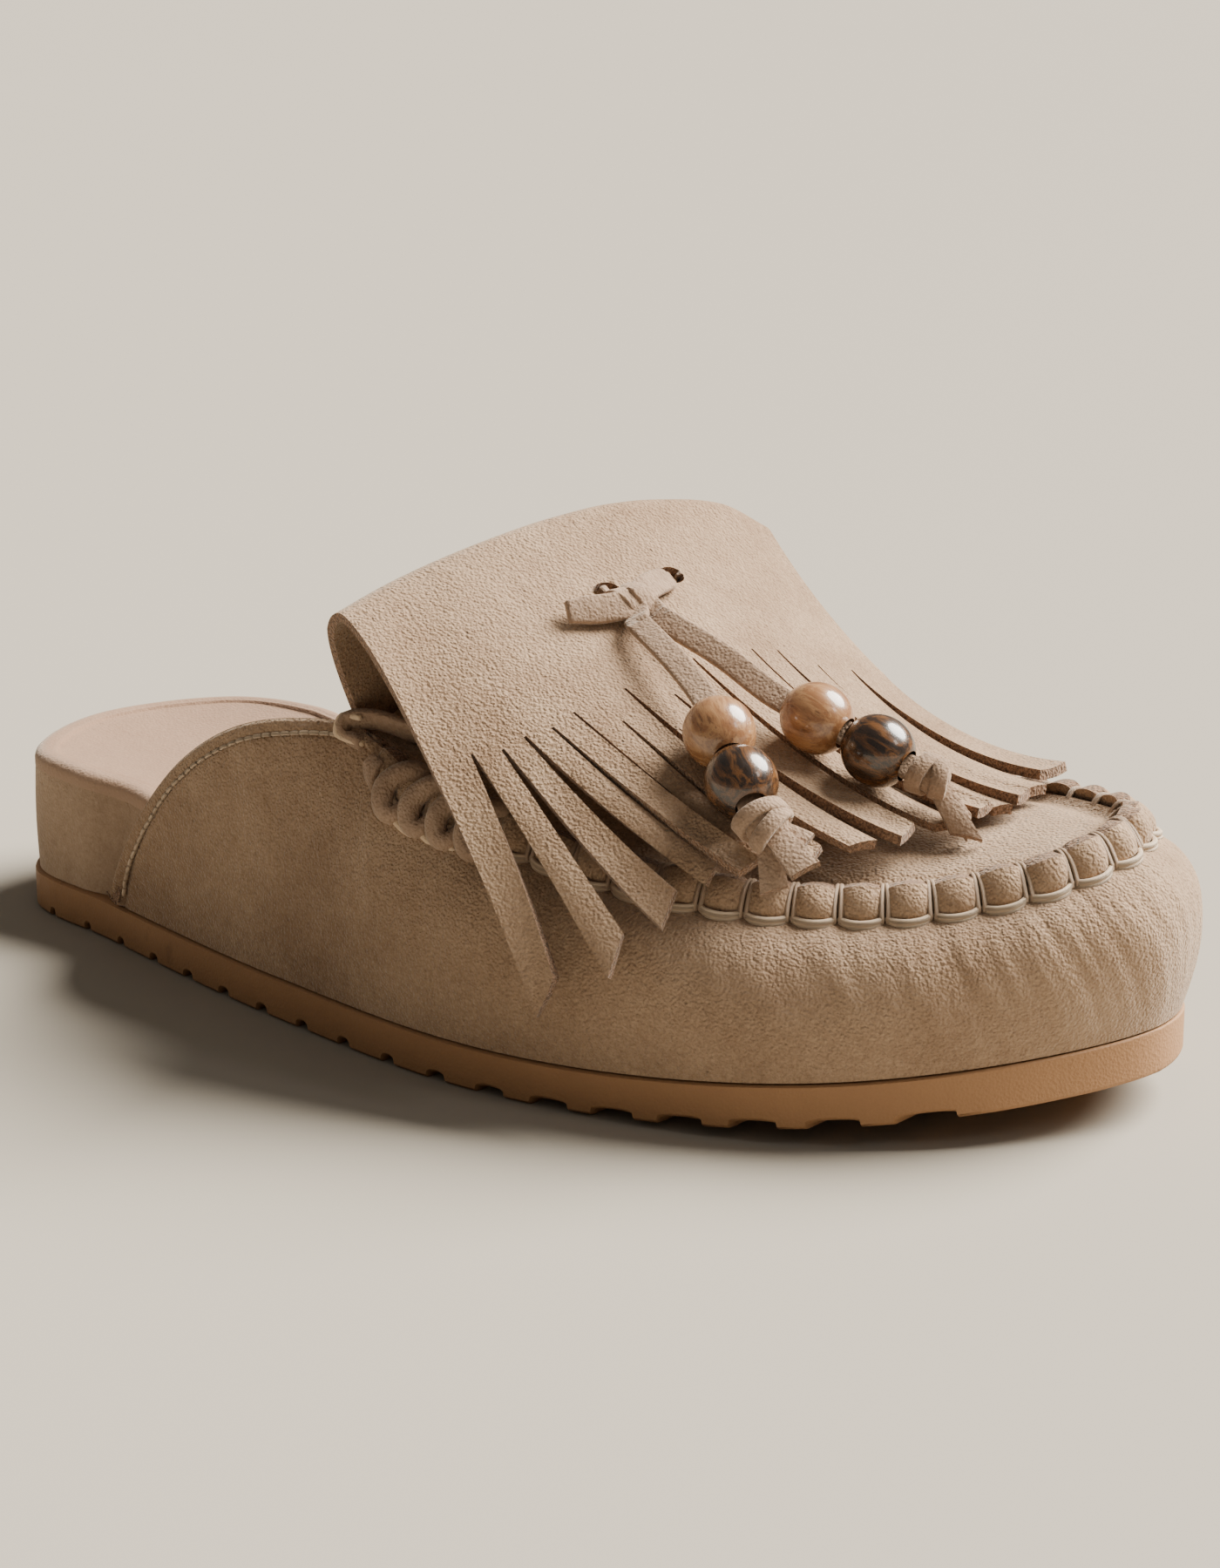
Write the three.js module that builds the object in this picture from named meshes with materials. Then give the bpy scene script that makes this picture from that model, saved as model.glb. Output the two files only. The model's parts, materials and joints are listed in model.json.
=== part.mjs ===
// A suede moccasin mule for the right foot: cork footbed, foam outsole, gathered apron toe,
// and a fringed kiltie whose lace carries two beaded tassels.
// Millimetres. +X points to the toe, +Y to the inner side of the foot, +Z up.
// The origin lies on the ground under the middle of the sole.

import * as THREE from 'three';
import { mergeVertices } from 'three/addons/utils/BufferGeometryUtils.js';

// ---------- Driving dimensions ----------
const SOLE_LENGTH = 252;
const SOLE_WIDTH = 98;
const INSTEP_HEIGHT = 92;

const CLEARANCE = 0.3;

const OUTSOLE_THICKNESS = 8;
const TOE_SPRING = 8.8;
const NOTCH_PITCH = 12;
const NOTCH_WIDTH = 3.4;
const NOTCH_DEPTH = 1.6;

const HEEL_RIM_HEIGHT = 32.6;
const FORE_RIM_RISE = 9;
const CUP_DEPTH = 6;
const JUTE_THICKNESS = 1;
const LINING_THICKNESS = 2;
const WRAP_THICKNESS = 1.6;
const WRAP_INSET_HEEL = 0.9;

const UPPER_THICKNESS = 2.2;
const UPPER_INSET = 0.4;
const PUCKER_PITCH = 8.5;
const PUCKER_HEIGHT = 5;
const PUCKER_LEAN = 3;
const PUCKER_SWELL = 0.9;
const APRON_THICKNESS = 2;
const THREAD_DIAMETER = 1;
const STITCH_DIAMETER = 0.7;
const STITCH_MARGIN = 3;

const KILTIE_THICKNESS = 2;
const STRIP_COUNT = 15;
const SLIT_WIDTH = 0.7;

const LACE_WIDTH = 4;
const LACE_THICKNESS = 1.3;
const BEAD_DIAMETER = 12.5;
const BEAD_BORE = 5.4;
const WHIP_DIAMETER = 2.6;

// Shape points below are written at this size, and grow with the driving one.
const DRAWN = { length: 252, width: 98, height: 92 };
const UP = new THREE.Vector3(0, 0, 1);

const grow = (x, y, z) => new THREE.Vector3(
  x * SOLE_LENGTH / DRAWN.length,
  y * SOLE_WIDTH / DRAWN.width,
  z * INSTEP_HEIGHT / DRAWN.height,
);

// ---------- Helpers ----------

// A closed sheet or slab: a grid of nu by nv cells between the faces w = 0 and w = 1.
// Cells that keep() turns down are left open, and a looped sheet joins its last column to its first.
function sheetSolid(nu, nv, point, { keep = () => true, looped = false } = {}) {
  const positions = [];
  const kept = (i, j) => {
    const column = looped ? (i + nu) % nu : i;
    return column >= 0 && column < nu && j >= 0 && j < nv && keep(column, j);
  };
  const corner = (i, j, w) => point(looped ? i % nu : i, j, w);
  const quad = (a, b, c, d) => {
    for (const p of [a, b, c, a, c, d]) positions.push(...p);
  };
  const wall = (i0, j0, i1, j1) => {
    quad(corner(i0, j0, 0), corner(i1, j1, 0), corner(i1, j1, 1), corner(i0, j0, 1));
  };
  for (let i = 0; i < nu; i++) {
    for (let j = 0; j < nv; j++) {
      if (!kept(i, j)) continue;
      quad(corner(i, j, 1), corner(i + 1, j, 1), corner(i + 1, j + 1, 1), corner(i, j + 1, 1));
      quad(corner(i, j, 0), corner(i, j + 1, 0), corner(i + 1, j + 1, 0), corner(i + 1, j, 0));
      if (!kept(i, j - 1)) wall(i, j, i + 1, j);
      if (!kept(i + 1, j)) wall(i + 1, j, i + 1, j + 1);
      if (!kept(i, j + 1)) wall(i + 1, j + 1, i, j + 1);
      if (!kept(i - 1, j)) wall(i, j + 1, i, j);
    }
  }
  const geometry = new THREE.BufferGeometry();
  geometry.setAttribute('position', new THREE.Float32BufferAttribute(positions, 3));
  return geometry;
}

// The same geometry with shared corners merged, and triangles of no area left out.
function welded(geometry) {
  geometry.deleteAttribute('normal');
  geometry.deleteAttribute('uv');
  const merged = mergeVertices(geometry, 1e-3);
  const corners = Array.from(merged.index.array);
  const kept = [];
  for (let n = 0; n < corners.length; n += 3) {
    const triangle = corners.slice(n, n + 3);
    if (new Set(triangle).size === 3) kept.push(...triangle);
  }
  merged.setIndex(kept);
  return merged;
}

// A smooth curve of vectors through keys of the form [at, x, y, z].
function keyedCurve(keys) {
  const at = keys.map((key) => key[0]);
  const value = keys.map((key) => new THREE.Vector3(...key.slice(1)));
  const slope = value.map((_, n) => {
    const a = Math.max(n - 1, 0);
    const b = Math.min(n + 1, value.length - 1);
    return value[b].clone().sub(value[a]).divideScalar(at[b] - at[a]);
  });
  return (k) => {
    let n = 0;
    while (n < at.length - 2 && k > at[n + 1]) n++;
    const span = at[n + 1] - at[n];
    const t = THREE.MathUtils.clamp((k - at[n]) / span, 0, 1);
    return new THREE.Vector3()
      .addScaledVector(value[n], 2 * t ** 3 - 3 * t ** 2 + 1)
      .addScaledVector(slope[n], (t ** 3 - 2 * t ** 2 + t) * span)
      .addScaledVector(value[n + 1], 3 * t ** 2 - 2 * t ** 3)
      .addScaledVector(slope[n + 1], (t ** 3 - t ** 2) * span);
  };
}

const bezier = (p0, p1, p2, p3, t) => new THREE.CubicBezierCurve3(p0, p1, p2, p3).getPoint(t);

// The unit normal of a surface given by a function of two numbers.
function surfaceNormal(surface, u, v, stepU, stepV) {
  const alongU = surface(u + stepU, v).sub(surface(u - stepU, v));
  const alongV = surface(u, v + stepV).sub(surface(u, v - stepV));
  return alongU.cross(alongV).normalize();
}

const unlerp = THREE.MathUtils.inverseLerp;
const lerp = THREE.MathUtils.lerp;
const ease = THREE.MathUtils.smoothstep;

// A curve whose flat section stays square to a chosen direction across it.
class LaceCurve extends THREE.CatmullRomCurve3 {
  constructor(points, across) {
    super(points, false, 'centripetal');
    this.across = across;
  }

  computeFrenetFrames(segments) {
    const frames = { tangents: [], normals: [], binormals: [] };
    for (let n = 0; n <= segments; n++) {
      const tangent = this.getTangentAt(n / segments);
      const normal = this.across.clone().addScaledVector(tangent, -this.across.dot(tangent)).normalize();
      frames.tangents.push(tangent);
      frames.normals.push(normal);
      frames.binormals.push(tangent.clone().cross(normal));
    }
    return frames;
  }
}

// A closed lace along a curve, with an eight-sided flat or round section.
function lace(curve, width, thickness, steps) {
  const section = new THREE.Shape();
  for (let n = 0; n < 8; n++) {
    const angle = (n + 0.5) * Math.PI / 4;
    const corner = [Math.cos(angle), Math.sin(angle)].map((c) => Math.sign(c) * Math.sqrt(Math.abs(c)));
    const x = corner[0] * width / 2;
    const y = corner[1] * thickness / 2;
    if (n === 0) section.moveTo(x, y);
    else section.lineTo(x, y);
  }
  return new THREE.ExtrudeGeometry(section, { steps, extrudePath: curve, bevelEnabled: false });
}

// ---------- The sole's outline ----------

const OUTLINE = new THREE.CatmullRomCurve3([
  [-126, 0], [-113.4, -28.8], [-84.6, -36], [-25, -47.8], [29.9, -51.9], [88, -35.9], [116, -10.6],
  [126, 14], [117, 34.1], [92, 41.6], [42.2, 46], [-25, 38], [-84.6, 36], [-113.4, 28.8],
].map(([x, y]) => grow(x, y, 0)), true, 'centripetal');
const OUTLINE_KEYS = OUTLINE.points.length;
const TOE_KEY = 7;

// The outline is named by key: 0 at the heel, along the outer side to 7 at the toe, and back.
const outlineAt = (key) => OUTLINE.getPoint(((key / OUTLINE_KEYS) % 1 + 1) % 1);

function outwardAt(key) {
  const step = 0.02;
  const along = outlineAt(key + step).sub(outlineAt(key - step));
  return new THREE.Vector3(along.y, -along.x, 0).normalize();
}

// An outline moved inwards by inset(x), read as the y of either side at a given x.
function insetOutline(inset) {
  const samples = 560;
  const points = [];
  for (let n = 0; n < samples; n++) {
    const key = n / samples * OUTLINE_KEYS;
    const p = outlineAt(key);
    points.push(p.addScaledVector(outwardAt(key), -inset(p.x)));
  }
  const heel = points.reduce((best, p, n) => (p.x < points[best].x ? n : best), 0);
  const toe = points.reduce((best, p, n) => (p.x > points[best].x ? n : best), 0);
  const run = (from, to, step) => {
    const list = [];
    for (let n = from; ; n = (n + step + samples) % samples) {
      list.push(points[n]);
      if (n === to) return list;
    }
  };
  const sides = { outer: run(heel, toe, 1), inner: run(heel, toe, -1) };
  const edge = (side, x) => {
    const list = sides[side];
    let n = 0;
    while (n < list.length - 2 && list[n + 1].x < x) n++;
    const t = THREE.MathUtils.clamp(unlerp(list[n].x, list[n + 1].x, x), 0, 1);
    return lerp(list[n].y, list[n + 1].y, t);
  };
  return { points, heelX: points[heel].x, toeX: points[toe].x, edge };
}

const fullOutline = insetOutline(() => 0);

// ---------- Heights of the sole's layers ----------

const SPRING_START = SOLE_LENGTH * 0.1175;
const groundHeight = (x) => {
  const t = Math.max(0, (x - SPRING_START) / (SOLE_LENGTH / 2 - SPRING_START));
  return TOE_SPRING * t * t;
};
const outsoleTop = (x) => groundHeight(x) + OUTSOLE_THICKNESS;
const rimHeight = (x) => {
  const back = ease(x, -SOLE_LENGTH * 0.42, SOLE_LENGTH * 0.24);
  return lerp(HEEL_RIM_HEIGHT, outsoleTop(x) + FORE_RIM_RISE, back);
};
// The wrap steps in under the quarters, which stand outside it.
const QUARTER_END = -SOLE_LENGTH * 0.325;
const wrapInset = (x) => {
  const under = ease(x, QUARTER_END - 12, QUARTER_END + 2);
  return lerp(WRAP_INSET_HEEL, UPPER_INSET + UPPER_THICKNESS + 1.2, under);
};
const wrapInside = insetOutline((x) => wrapInset(x) + WRAP_THICKNESS);
const coreOutline = insetOutline((x) => wrapInset(x) + WRAP_THICKNESS + 2 * CLEARANCE);
const liningOutline = insetOutline((x) => wrapInset(x) + 0.2);

// How far the footbed dips below its rim: a deep heel cup and a shallow forefoot.
const footbedDip = (x, across) => {
  const depth = lerp(CUP_DEPTH, CUP_DEPTH / 3, ease(x, -SOLE_LENGTH * 0.3, SOLE_LENGTH * 0.05));
  const arch = 0.5 * ease(across, 0.1, 0.9) * Math.exp(-((x / (SOLE_LENGTH * 0.14)) ** 2));
  const along = 2 * unlerp(liningOutline.heelX, liningOutline.toeX, x) - 1;
  return depth * ((1 - across ** 2) * Math.max(0, 1 - along ** 6)) ** 1.4 * (1 - arch);
};

// How far across the footbed a point lies, from -1 at its outer edge to 1 at its inner edge.
const acrossFootbed = (x, y) => {
  const [outer, inner] = ['outer', 'inner'].map((side) => liningOutline.edge(side, x));
  return inner - outer < 1 ? 1 : THREE.MathUtils.clamp(2 * unlerp(outer, inner, y) - 1, -1, 1);
};

// A layer of the sole between two heights, given as functions of x and of -1..1 across the footbed.
function soleLayer(outline, bottom, top, nu = 34, nv = 8) {
  return sheetSolid(nu, nv, (i, j, w) => {
    const x = lerp(outline.heelX, outline.toeX, 0.5 - 0.5 * Math.cos(Math.PI * i / nu));
    const share = 0.5 - 0.5 * Math.cos(Math.PI * j / nv);
    const y = lerp(outline.edge('outer', x), outline.edge('inner', x), share);
    return new THREE.Vector3(x, y, (w ? top : bottom)(x, acrossFootbed(x, y)));
  });
}

// ---------- Sole ----------

// The outsole's lower edge has a notch at every pitch; its ground face stays flat in the middle.
function outsole() {
  const stations = [];
  const margin = 16;
  const rounds = 7;
  const first = fullOutline.heelX;
  const last = fullOutline.toeX;
  for (let n = 0; n < rounds; n++) {
    stations.push({ x: first + margin * (1 - Math.cos(Math.PI / 2 * n / rounds)), cut: 0 });
  }
  const count = Math.floor((last - first - 2 * margin) / NOTCH_PITCH);
  const pitch = (last - first - 2 * margin) / count;
  for (let n = 0; n < count; n++) {
    const middle = first + margin + (n + 0.5) * pitch;
    stations.push({ x: middle - NOTCH_WIDTH / 2, cut: 0 });
    stations.push({ x: middle, cut: NOTCH_DEPTH });
    stations.push({ x: middle + NOTCH_WIDTH / 2, cut: 0 });
  }
  for (let n = rounds - 1; n >= 0; n--) {
    stations.push({ x: last - margin * (1 - Math.cos(Math.PI / 2 * n / rounds)), cut: 0 });
  }
  const columns = [-1, -0.86, 0.86, 1];
  return sheetSolid(stations.length - 1, columns.length - 1, (i, j, w) => {
    const { x, cut } = stations[i];
    const outer = fullOutline.edge('outer', x);
    const inner = fullOutline.edge('inner', x);
    const y = lerp(outer, inner, (columns[j] + 1) / 2);
    const atEdge = Math.abs(columns[j]) === 1;
    return new THREE.Vector3(x, y, w ? outsoleTop(x) : groundHeight(x) + (atEdge ? cut : 0));
  });
}

function footbedWrap() {
  const outer = insetOutline(wrapInset).points;
  const inner = wrapInside.points;
  const step = 8;
  const columns = outer.length / step;
  return sheetSolid(columns, 2, (i, j, w) => {
    const outside = outer[i * step];
    const p = (w ? outside : inner[i * step]).clone();
    const top = rimHeight(outside.x) - LINING_THICKNESS - 1.5 * CLEARANCE;
    p.z = lerp(outsoleTop(outside.x) + CLEARANCE, top, j / 2);
    return p;
  }, { looped: true });
}

const liningTop = (x, across) => rimHeight(x) - footbedDip(x, across);
const liningBottom = (x, across) => liningTop(x, across) - LINING_THICKNESS;
const upperJuteBottom = (x, across) => liningBottom(x, across) - CLEARANCE - JUTE_THICKNESS;
const lowerJuteTop = (x) => outsoleTop(x) + CLEARANCE + JUTE_THICKNESS;

// ---------- Upper ----------

// The upper's top edge by outline key: collar, throat corner, apron seam, and back.
const THROAT_KEY = { outer: 3.24, inner: 10.81 };
const UPPER_ENDS = [2.07, 11.93];
const topEdge = keyedCurve([
  [2.07, -80.5, -38.2, 10.2], [2.133, -76.7, -40, 17.3], [2.273, -68.3, -41.5, 29.9],
  [2.487, -55.6, -42, 43.4], [2.735, -40.8, -41.5, 52.5], [3.016, -24.1, -40, 56.6],
  [3.24, -12, -38.5, 56.5], [3.506, 2.8, -40, 51], [3.976, 28.6, -39, 46.5], [4.327, 48.9, -35, 43],
  [4.66, 66.7, -29, 41.3], [5, 79, -23.5, 41.3], [5.35, 90.9, -17.5, 42.2], [5.8, 101, -10, 44],
  [6.25, 109, -3, 46.5], [6.7, 114, 4.5, 49], [7, 116, 12, 51], [7.35, 114, 20, 51.5],
  [7.95, 108.8, 28, 50.5], [8.55, 97.9, 32, 49.8], [9.02, 87.7, 35, 48.5], [9.6, 62, 38, 47],
  [10.2, 28, 39, 48], [10.58, 3, 39, 52], [10.81, -12, 38, 57.5], [10.985, -24, 38, 57],
  [11.25, -40, 39, 53], [11.51, -55.6, 39, 44], [11.72, -68, 38.5, 30.5], [11.87, -76.7, 37.5, 18],
  [11.93, -80.5, 36.6, 10.2],
].map(([key, ...p]) => [key, ...grow(...p)]));

// How far the wall swells past the sole low down (x) and under the seam (y), by outline key.
const swell = keyedCurve([
  [2, 0.6, 0.6, 0], [3, 1.4, 4, 0], [4, 2.5, 11, 0], [5, 3, 12, 0], [6, 3.2, 13, 0], [7, 3.4, 13.5, 0],
  [8, 3.2, 12.5, 0], [9, 3, 11.5, 0], [10, 2.5, 11, 0], [11, 1.4, 4, 0], [12, 0.6, 0.6, 0],
]);

const seamShare = (key) => ease(key, THROAT_KEY.outer, THROAT_KEY.outer + 0.25)
  * (1 - ease(key, THROAT_KEY.inner - 0.25, THROAT_KEY.inner));

const seamLengths = (() => {
  const steps = 400;
  const lengths = [0];
  let before = topEdge(THROAT_KEY.outer);
  for (let n = 1; n <= steps; n++) {
    const now = topEdge(lerp(THROAT_KEY.outer, THROAT_KEY.inner, n / steps));
    lengths.push(lengths[n - 1] + now.distanceTo(before));
    before = now;
  }
  return lengths;
})();
const SEAM_LENGTH = seamLengths[seamLengths.length - 1];
const PUCKER_COUNT = Math.round(SEAM_LENGTH / PUCKER_PITCH);

function seamLengthAt(key) {
  const place = unlerp(THROAT_KEY.outer, THROAT_KEY.inner, key) * (seamLengths.length - 1);
  const n = Math.floor(THREE.MathUtils.clamp(place, 0, seamLengths.length - 2));
  return lerp(seamLengths[n], seamLengths[n + 1], THREE.MathUtils.clamp(place - n, 0, 1));
}

// The foot of the gathered ridge, which is also where the apron thread runs.
function seamFoot(key) {
  const share = seamShare(key);
  return topEdge(key)
    .addScaledVector(outwardAt(key), PUCKER_LEAN * share)
    .addScaledVector(UP, -PUCKER_HEIGHT * share);
}

const RIDGE_START = 0.8;

// The upper's outer face: v runs from the outsole to the top edge, with the ridge at the end.
function upperFace(key, v) {
  const out = outwardAt(key);
  const foot = seamFoot(key);
  if (v > RIDGE_START) {
    const t = (v - RIDGE_START) / (1 - RIDGE_START);
    const pillow = Math.abs(Math.sin(Math.PI * seamLengthAt(key) / SEAM_LENGTH * PUCKER_COUNT));
    const push = PUCKER_SWELL * seamShare(key) * (0.4 + pillow) * Math.sin(Math.PI * Math.min(t, 1) * 0.9);
    return foot.lerp(topEdge(key), t).addScaledVector(out, push);
  }
  const base = outlineAt(key).addScaledVector(out, -UPPER_INSET);
  base.z = outsoleTop(base.x) + CLEARANCE;
  const height = foot.z - base.z;
  const { x: low, y: high } = swell(key);
  const lowHandle = base.clone().addScaledVector(out, low).addScaledVector(UP, 0.4 * height);
  const highHandle = foot.clone().addScaledVector(out, high).addScaledVector(UP, -0.12 * height);
  return bezier(base, lowHandle, highHandle, foot, v / RIDGE_START);
}

const upperNormal = (key, v) => {
  const safe = THREE.MathUtils.clamp(v, 0.03, RIDGE_START - 0.03);
  return surfaceNormal(upperFace, THREE.MathUtils.clamp(key, 2.09, 11.91), safe, 0.01, 0.02);
};

function vamp() {
  const columns = 88;
  const rows = [0, 0.15, 0.3, 0.45, 0.58, 0.7, RIDGE_START, 0.9, 1];
  return sheetSolid(columns, rows.length - 1, (i, j, w) => {
    const key = lerp(...UPPER_ENDS, i / columns);
    const v = rows[j];
    const p = upperFace(key, v);
    if (w) return p;
    const inward = v > RIDGE_START ? outwardAt(key).lerp(upperNormal(key, v), 0.3).normalize() : upperNormal(key, v);
    return p.addScaledVector(inward, -UPPER_THICKNESS);
  });
}

// ---------- Apron ----------

const APRON_DROP = 1.6;
const apronEdge = (key) => topEdge(key)
  .addScaledVector(outwardAt(key), -UPPER_THICKNESS - 1.5 * CLEARANCE)
  .addScaledVector(UP, -APRON_DROP);

function apronSide(fromKey, toKey) {
  const list = [];
  const steps = 160;
  for (let n = 0; n <= steps; n++) list.push(apronEdge(lerp(fromKey, toKey, n / steps)));
  return (x) => {
    let n = 0;
    while (n < list.length - 2 && list[n + 1].x < x) n++;
    const t = THREE.MathUtils.clamp(unlerp(list[n].x, list[n + 1].x, x), 0, 1);
    return list[n].clone().lerp(list[n + 1], t);
  };
}
const apronOuter = apronSide(THROAT_KEY.outer, TOE_KEY + 0.05);
const apronInner = apronSide(THROAT_KEY.inner, TOE_KEY + 0.05);
const APRON_BACK = Math.max(apronEdge(THROAT_KEY.outer).x, apronEdge(THROAT_KEY.inner).x);
const APRON_TIP = apronEdge(TOE_KEY + 0.05).x;

const crownKeys = keyedCurve([
  [0, 8.5, 0, 0], [0.3, 7, 0, 0], [0.55, 4.5, 0, 0], [0.8, 2.5, 0, 0], [1, 0, 0, 0],
]);

// The apron's upper face at x, and at -1..1 across.
function apronTop(x, across) {
  const p = apronOuter(x).lerp(apronInner(x), (across + 1) / 2);
  const crown = crownKeys(unlerp(APRON_BACK, APRON_TIP, x)).x * INSTEP_HEIGHT / DRAWN.height;
  p.x = x;
  p.z += crown * (1 - across ** 2);
  return p;
}

function apron() {
  const nu = 16;
  const nv = 8;
  return sheetSolid(nu, nv, (i, j, w) => {
    const x = lerp(APRON_BACK, APRON_TIP, Math.sin(Math.PI / 2 * i / nu));
    const p = apronTop(x, -Math.cos(Math.PI * j / nv));
    return w ? p : p.addScaledVector(UP, -APRON_THICKNESS);
  });
}

// ---------- Threads ----------

function threadAlong(surfacePoint, from, to, diameter, steps) {
  const points = [];
  for (let n = 0; n <= steps; n++) {
    const key = lerp(from, to, n / steps);
    const { p, normal } = surfacePoint(key);
    points.push(p.addScaledVector(normal, diameter / 2 + CLEARANCE));
  }
  const curve = new THREE.CatmullRomCurve3(points, false, 'centripetal');
  return lace(curve, diameter, diameter, steps);
}

function apronThread() {
  const foot = (key) => ({ p: upperFace(key, RIDGE_START - 0.02), normal: outwardAt(key).add(UP).normalize() });
  return threadAlong(foot, THROAT_KEY.outer + 0.48, THROAT_KEY.inner - 0.48, THREAD_DIAMETER, 60);
}

// Collar stitching runs a margin below the collar's edge.
function collarThread(from, to) {
  const below = (key) => {
    const height = topEdge(key).z - outsoleTop(topEdge(key).x);
    const v = RIDGE_START * (1 - STITCH_MARGIN / height);
    return { p: upperFace(key, v), normal: upperNormal(key, v) };
  };
  return threadAlong(below, from, to, STITCH_DIAMETER, 14);
}

// ---------- Kiltie ----------

// Curves across the kiltie from the outer side (-1) to the inner side (1).
const tongueFoot = keyedCurve([
  [-1, -15.5, -34.8, 54.5], [-0.5, -15, -18, 61.5], [0, -14.5, 0, 63.8], [0.5, -15, 18, 62], [1, -15.5, 33.8, 55.5],
].map(([s, ...p]) => [s, ...grow(...p)]));
const foldLine = keyedCurve([
  [-1, -8.5, -46.8, 80.1], [-0.72, -7.1, -34.6, 83.6], [-0.45, -4.1, -21.7, 87], [-0.12, -0.6, -6.7, 90],
  [0.1, 1.7, 2.9, 91.3], [0.3, 3.9, 12.6, 92], [0.55, 6.7, 24.5, 91.4], [0.82, 10, 38.7, 88.8], [1, 12.5, 49, 83],
].map(([s, ...p]) => [s, ...grow(...p)]));
const flapShoulder = keyedCurve([
  [-1, 10, -50, 75], [-0.5, 13, -26, 82], [0, 17, -3, 85], [0.5, 20, 22, 83], [1, 22, 47, 75],
].map(([s, ...p]) => [s, ...grow(...p)]));
const flapHip = keyedCurve([
  [-1, 29, -56, 50], [-0.5, 42, -31, 58], [0, 46, -6, 58], [0.5, 46, 20, 54], [1, 44, 45, 47],
].map(([s, ...p]) => [s, ...grow(...p)]));
const flapTips = keyedCurve([
  [-1, 45, -58, 20], [-0.8, 57, -52, 28], [-0.6, 67, -38, 41], [-0.35, 77, -26, 46.5], [0, 83, -7, 49.5],
  [0.4, 88, 14, 51], [0.75, 88, 29, 51], [1, 85, 42, 50.5],
].map(([s, ...p]) => [s, ...grow(...p)]));

const FOLD_DIRECTION = foldLine(1).sub(foldLine(-1)).setZ(0).normalize();
const FORWARD = new THREE.Vector3(FOLD_DIRECTION.y, -FOLD_DIRECTION.x, 0);
const FOLD_RADIUS = 4.5;

// The flap's outer face, from the fold (v = 0) to the strips' tips.
function flapFace(s, v) {
  const fold = foldLine(s);
  const tip = flapTips(s);
  return bezier(fold, flapShoulder(s).lerp(fold, 0.35), flapHip(s), tip, v);
}

// The tongue's outer face: up from the throat behind the fold, then over it.
function tongueFace(s, v) {
  const foot = tongueFoot(s);
  const fold = foldLine(s);
  const back = fold.clone().addScaledVector(FORWARD, -2 * FOLD_RADIUS);
  back.z -= FOLD_RADIUS * 0.4;
  const rise = foot.clone().lerp(back, 0.45);
  return bezier(foot, rise, back, fold, v);
}

const FOLD_GAP = 0.25;

function kiltieTongue() {
  const nu = 14;
  const nv = 7;
  return sheetSolid(nu, nv, (i, j, w) => {
    const s = lerp(-1, 1, i / nu);
    const v = j / nv;
    const p = tongueFace(s, v);
    if (j === nv) p.addScaledVector(FORWARD, -FOLD_GAP);
    const normal = j === nv
      ? UP.clone().negate()
      : surfaceNormal(tongueFace, s, THREE.MathUtils.clamp(v, 0.03, 0.97), 0.01, 0.02);
    return p.addScaledVector(normal, w ? KILTIE_THICKNESS : 0);
  });
}

// The flap's columns are strips with a slit between each two; two cells near the fold are lace holes.
const HOLE_STRIPS = [7, 9];
const HOLE_ROW = 3;
const SLIT_ROW = 6;
const FLAP_ROWS = 11;
const flapV = (row) => row / FLAP_ROWS;

const STRIP_EDGES = (() => {
  const width = foldLine(1).distanceTo(foldLine(-1));
  const slit = 2 * SLIT_WIDTH / width;
  const strip = (2 - slit * (STRIP_COUNT - 1)) / STRIP_COUNT;
  const edges = [];
  for (let n = 0; n < STRIP_COUNT; n++) {
    const start = -1 + n * (strip + slit);
    edges.push(start, start + strip);
  }
  return edges;
})();

const flapNormal = (s, v) => surfaceNormal(
  flapFace, THREE.MathUtils.clamp(s, -0.98, 0.98), THREE.MathUtils.clamp(v, 0.03, 0.97), 0.015, 0.02,
);

const isSlit = (i, j) => i % 2 === 1 && j >= SLIT_ROW;
const isHole = (i, j) => i % 2 === 0 && HOLE_STRIPS.includes(i / 2) && j === HOLE_ROW;

function kiltieFlap() {
  return sheetSolid(STRIP_EDGES.length - 1, FLAP_ROWS, (i, j, w) => {
    const s = STRIP_EDGES[i];
    const v = flapV(j);
    const p = flapFace(s, v);
    if (j === 0) p.addScaledVector(FORWARD, FOLD_GAP);
    const normal = j === 0 ? UP.clone().negate() : flapNormal(s, v);
    return p.addScaledVector(normal, w ? KILTIE_THICKNESS : 0);
  }, { keep: (i, j) => !isSlit(i, j) && !isHole(i, j) });
}

// ---------- Laces, knots and beads ----------

const holeMiddle = (n) => {
  const strip = HOLE_STRIPS[n] * 2;
  const s = (STRIP_EDGES[strip] + STRIP_EDGES[strip + 1]) / 2;
  const v = (flapV(HOLE_ROW) + flapV(HOLE_ROW + 1)) / 2;
  return { p: flapFace(s, v), normal: flapNormal(s, v).negate() };
};

const KNOT = { length: 11, width: 9.5, height: 6 };
const KNOT_SHIFT = { down: 7, across: -8 };
const holeA = holeMiddle(0);
const holeB = holeMiddle(1);
const DOWN_FLAP = FORWARD.clone().addScaledVector(holeA.normal, -FORWARD.dot(holeA.normal)).normalize();
const knotCentre = holeA.p.clone().lerp(holeB.p, 0.5)
  .addScaledVector(holeA.normal, KNOT.height / 2 + 2 * CLEARANCE)
  .addScaledVector(DOWN_FLAP, KNOT_SHIFT.down)
  .addScaledVector(FOLD_DIRECTION, KNOT_SHIFT.across);

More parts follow.
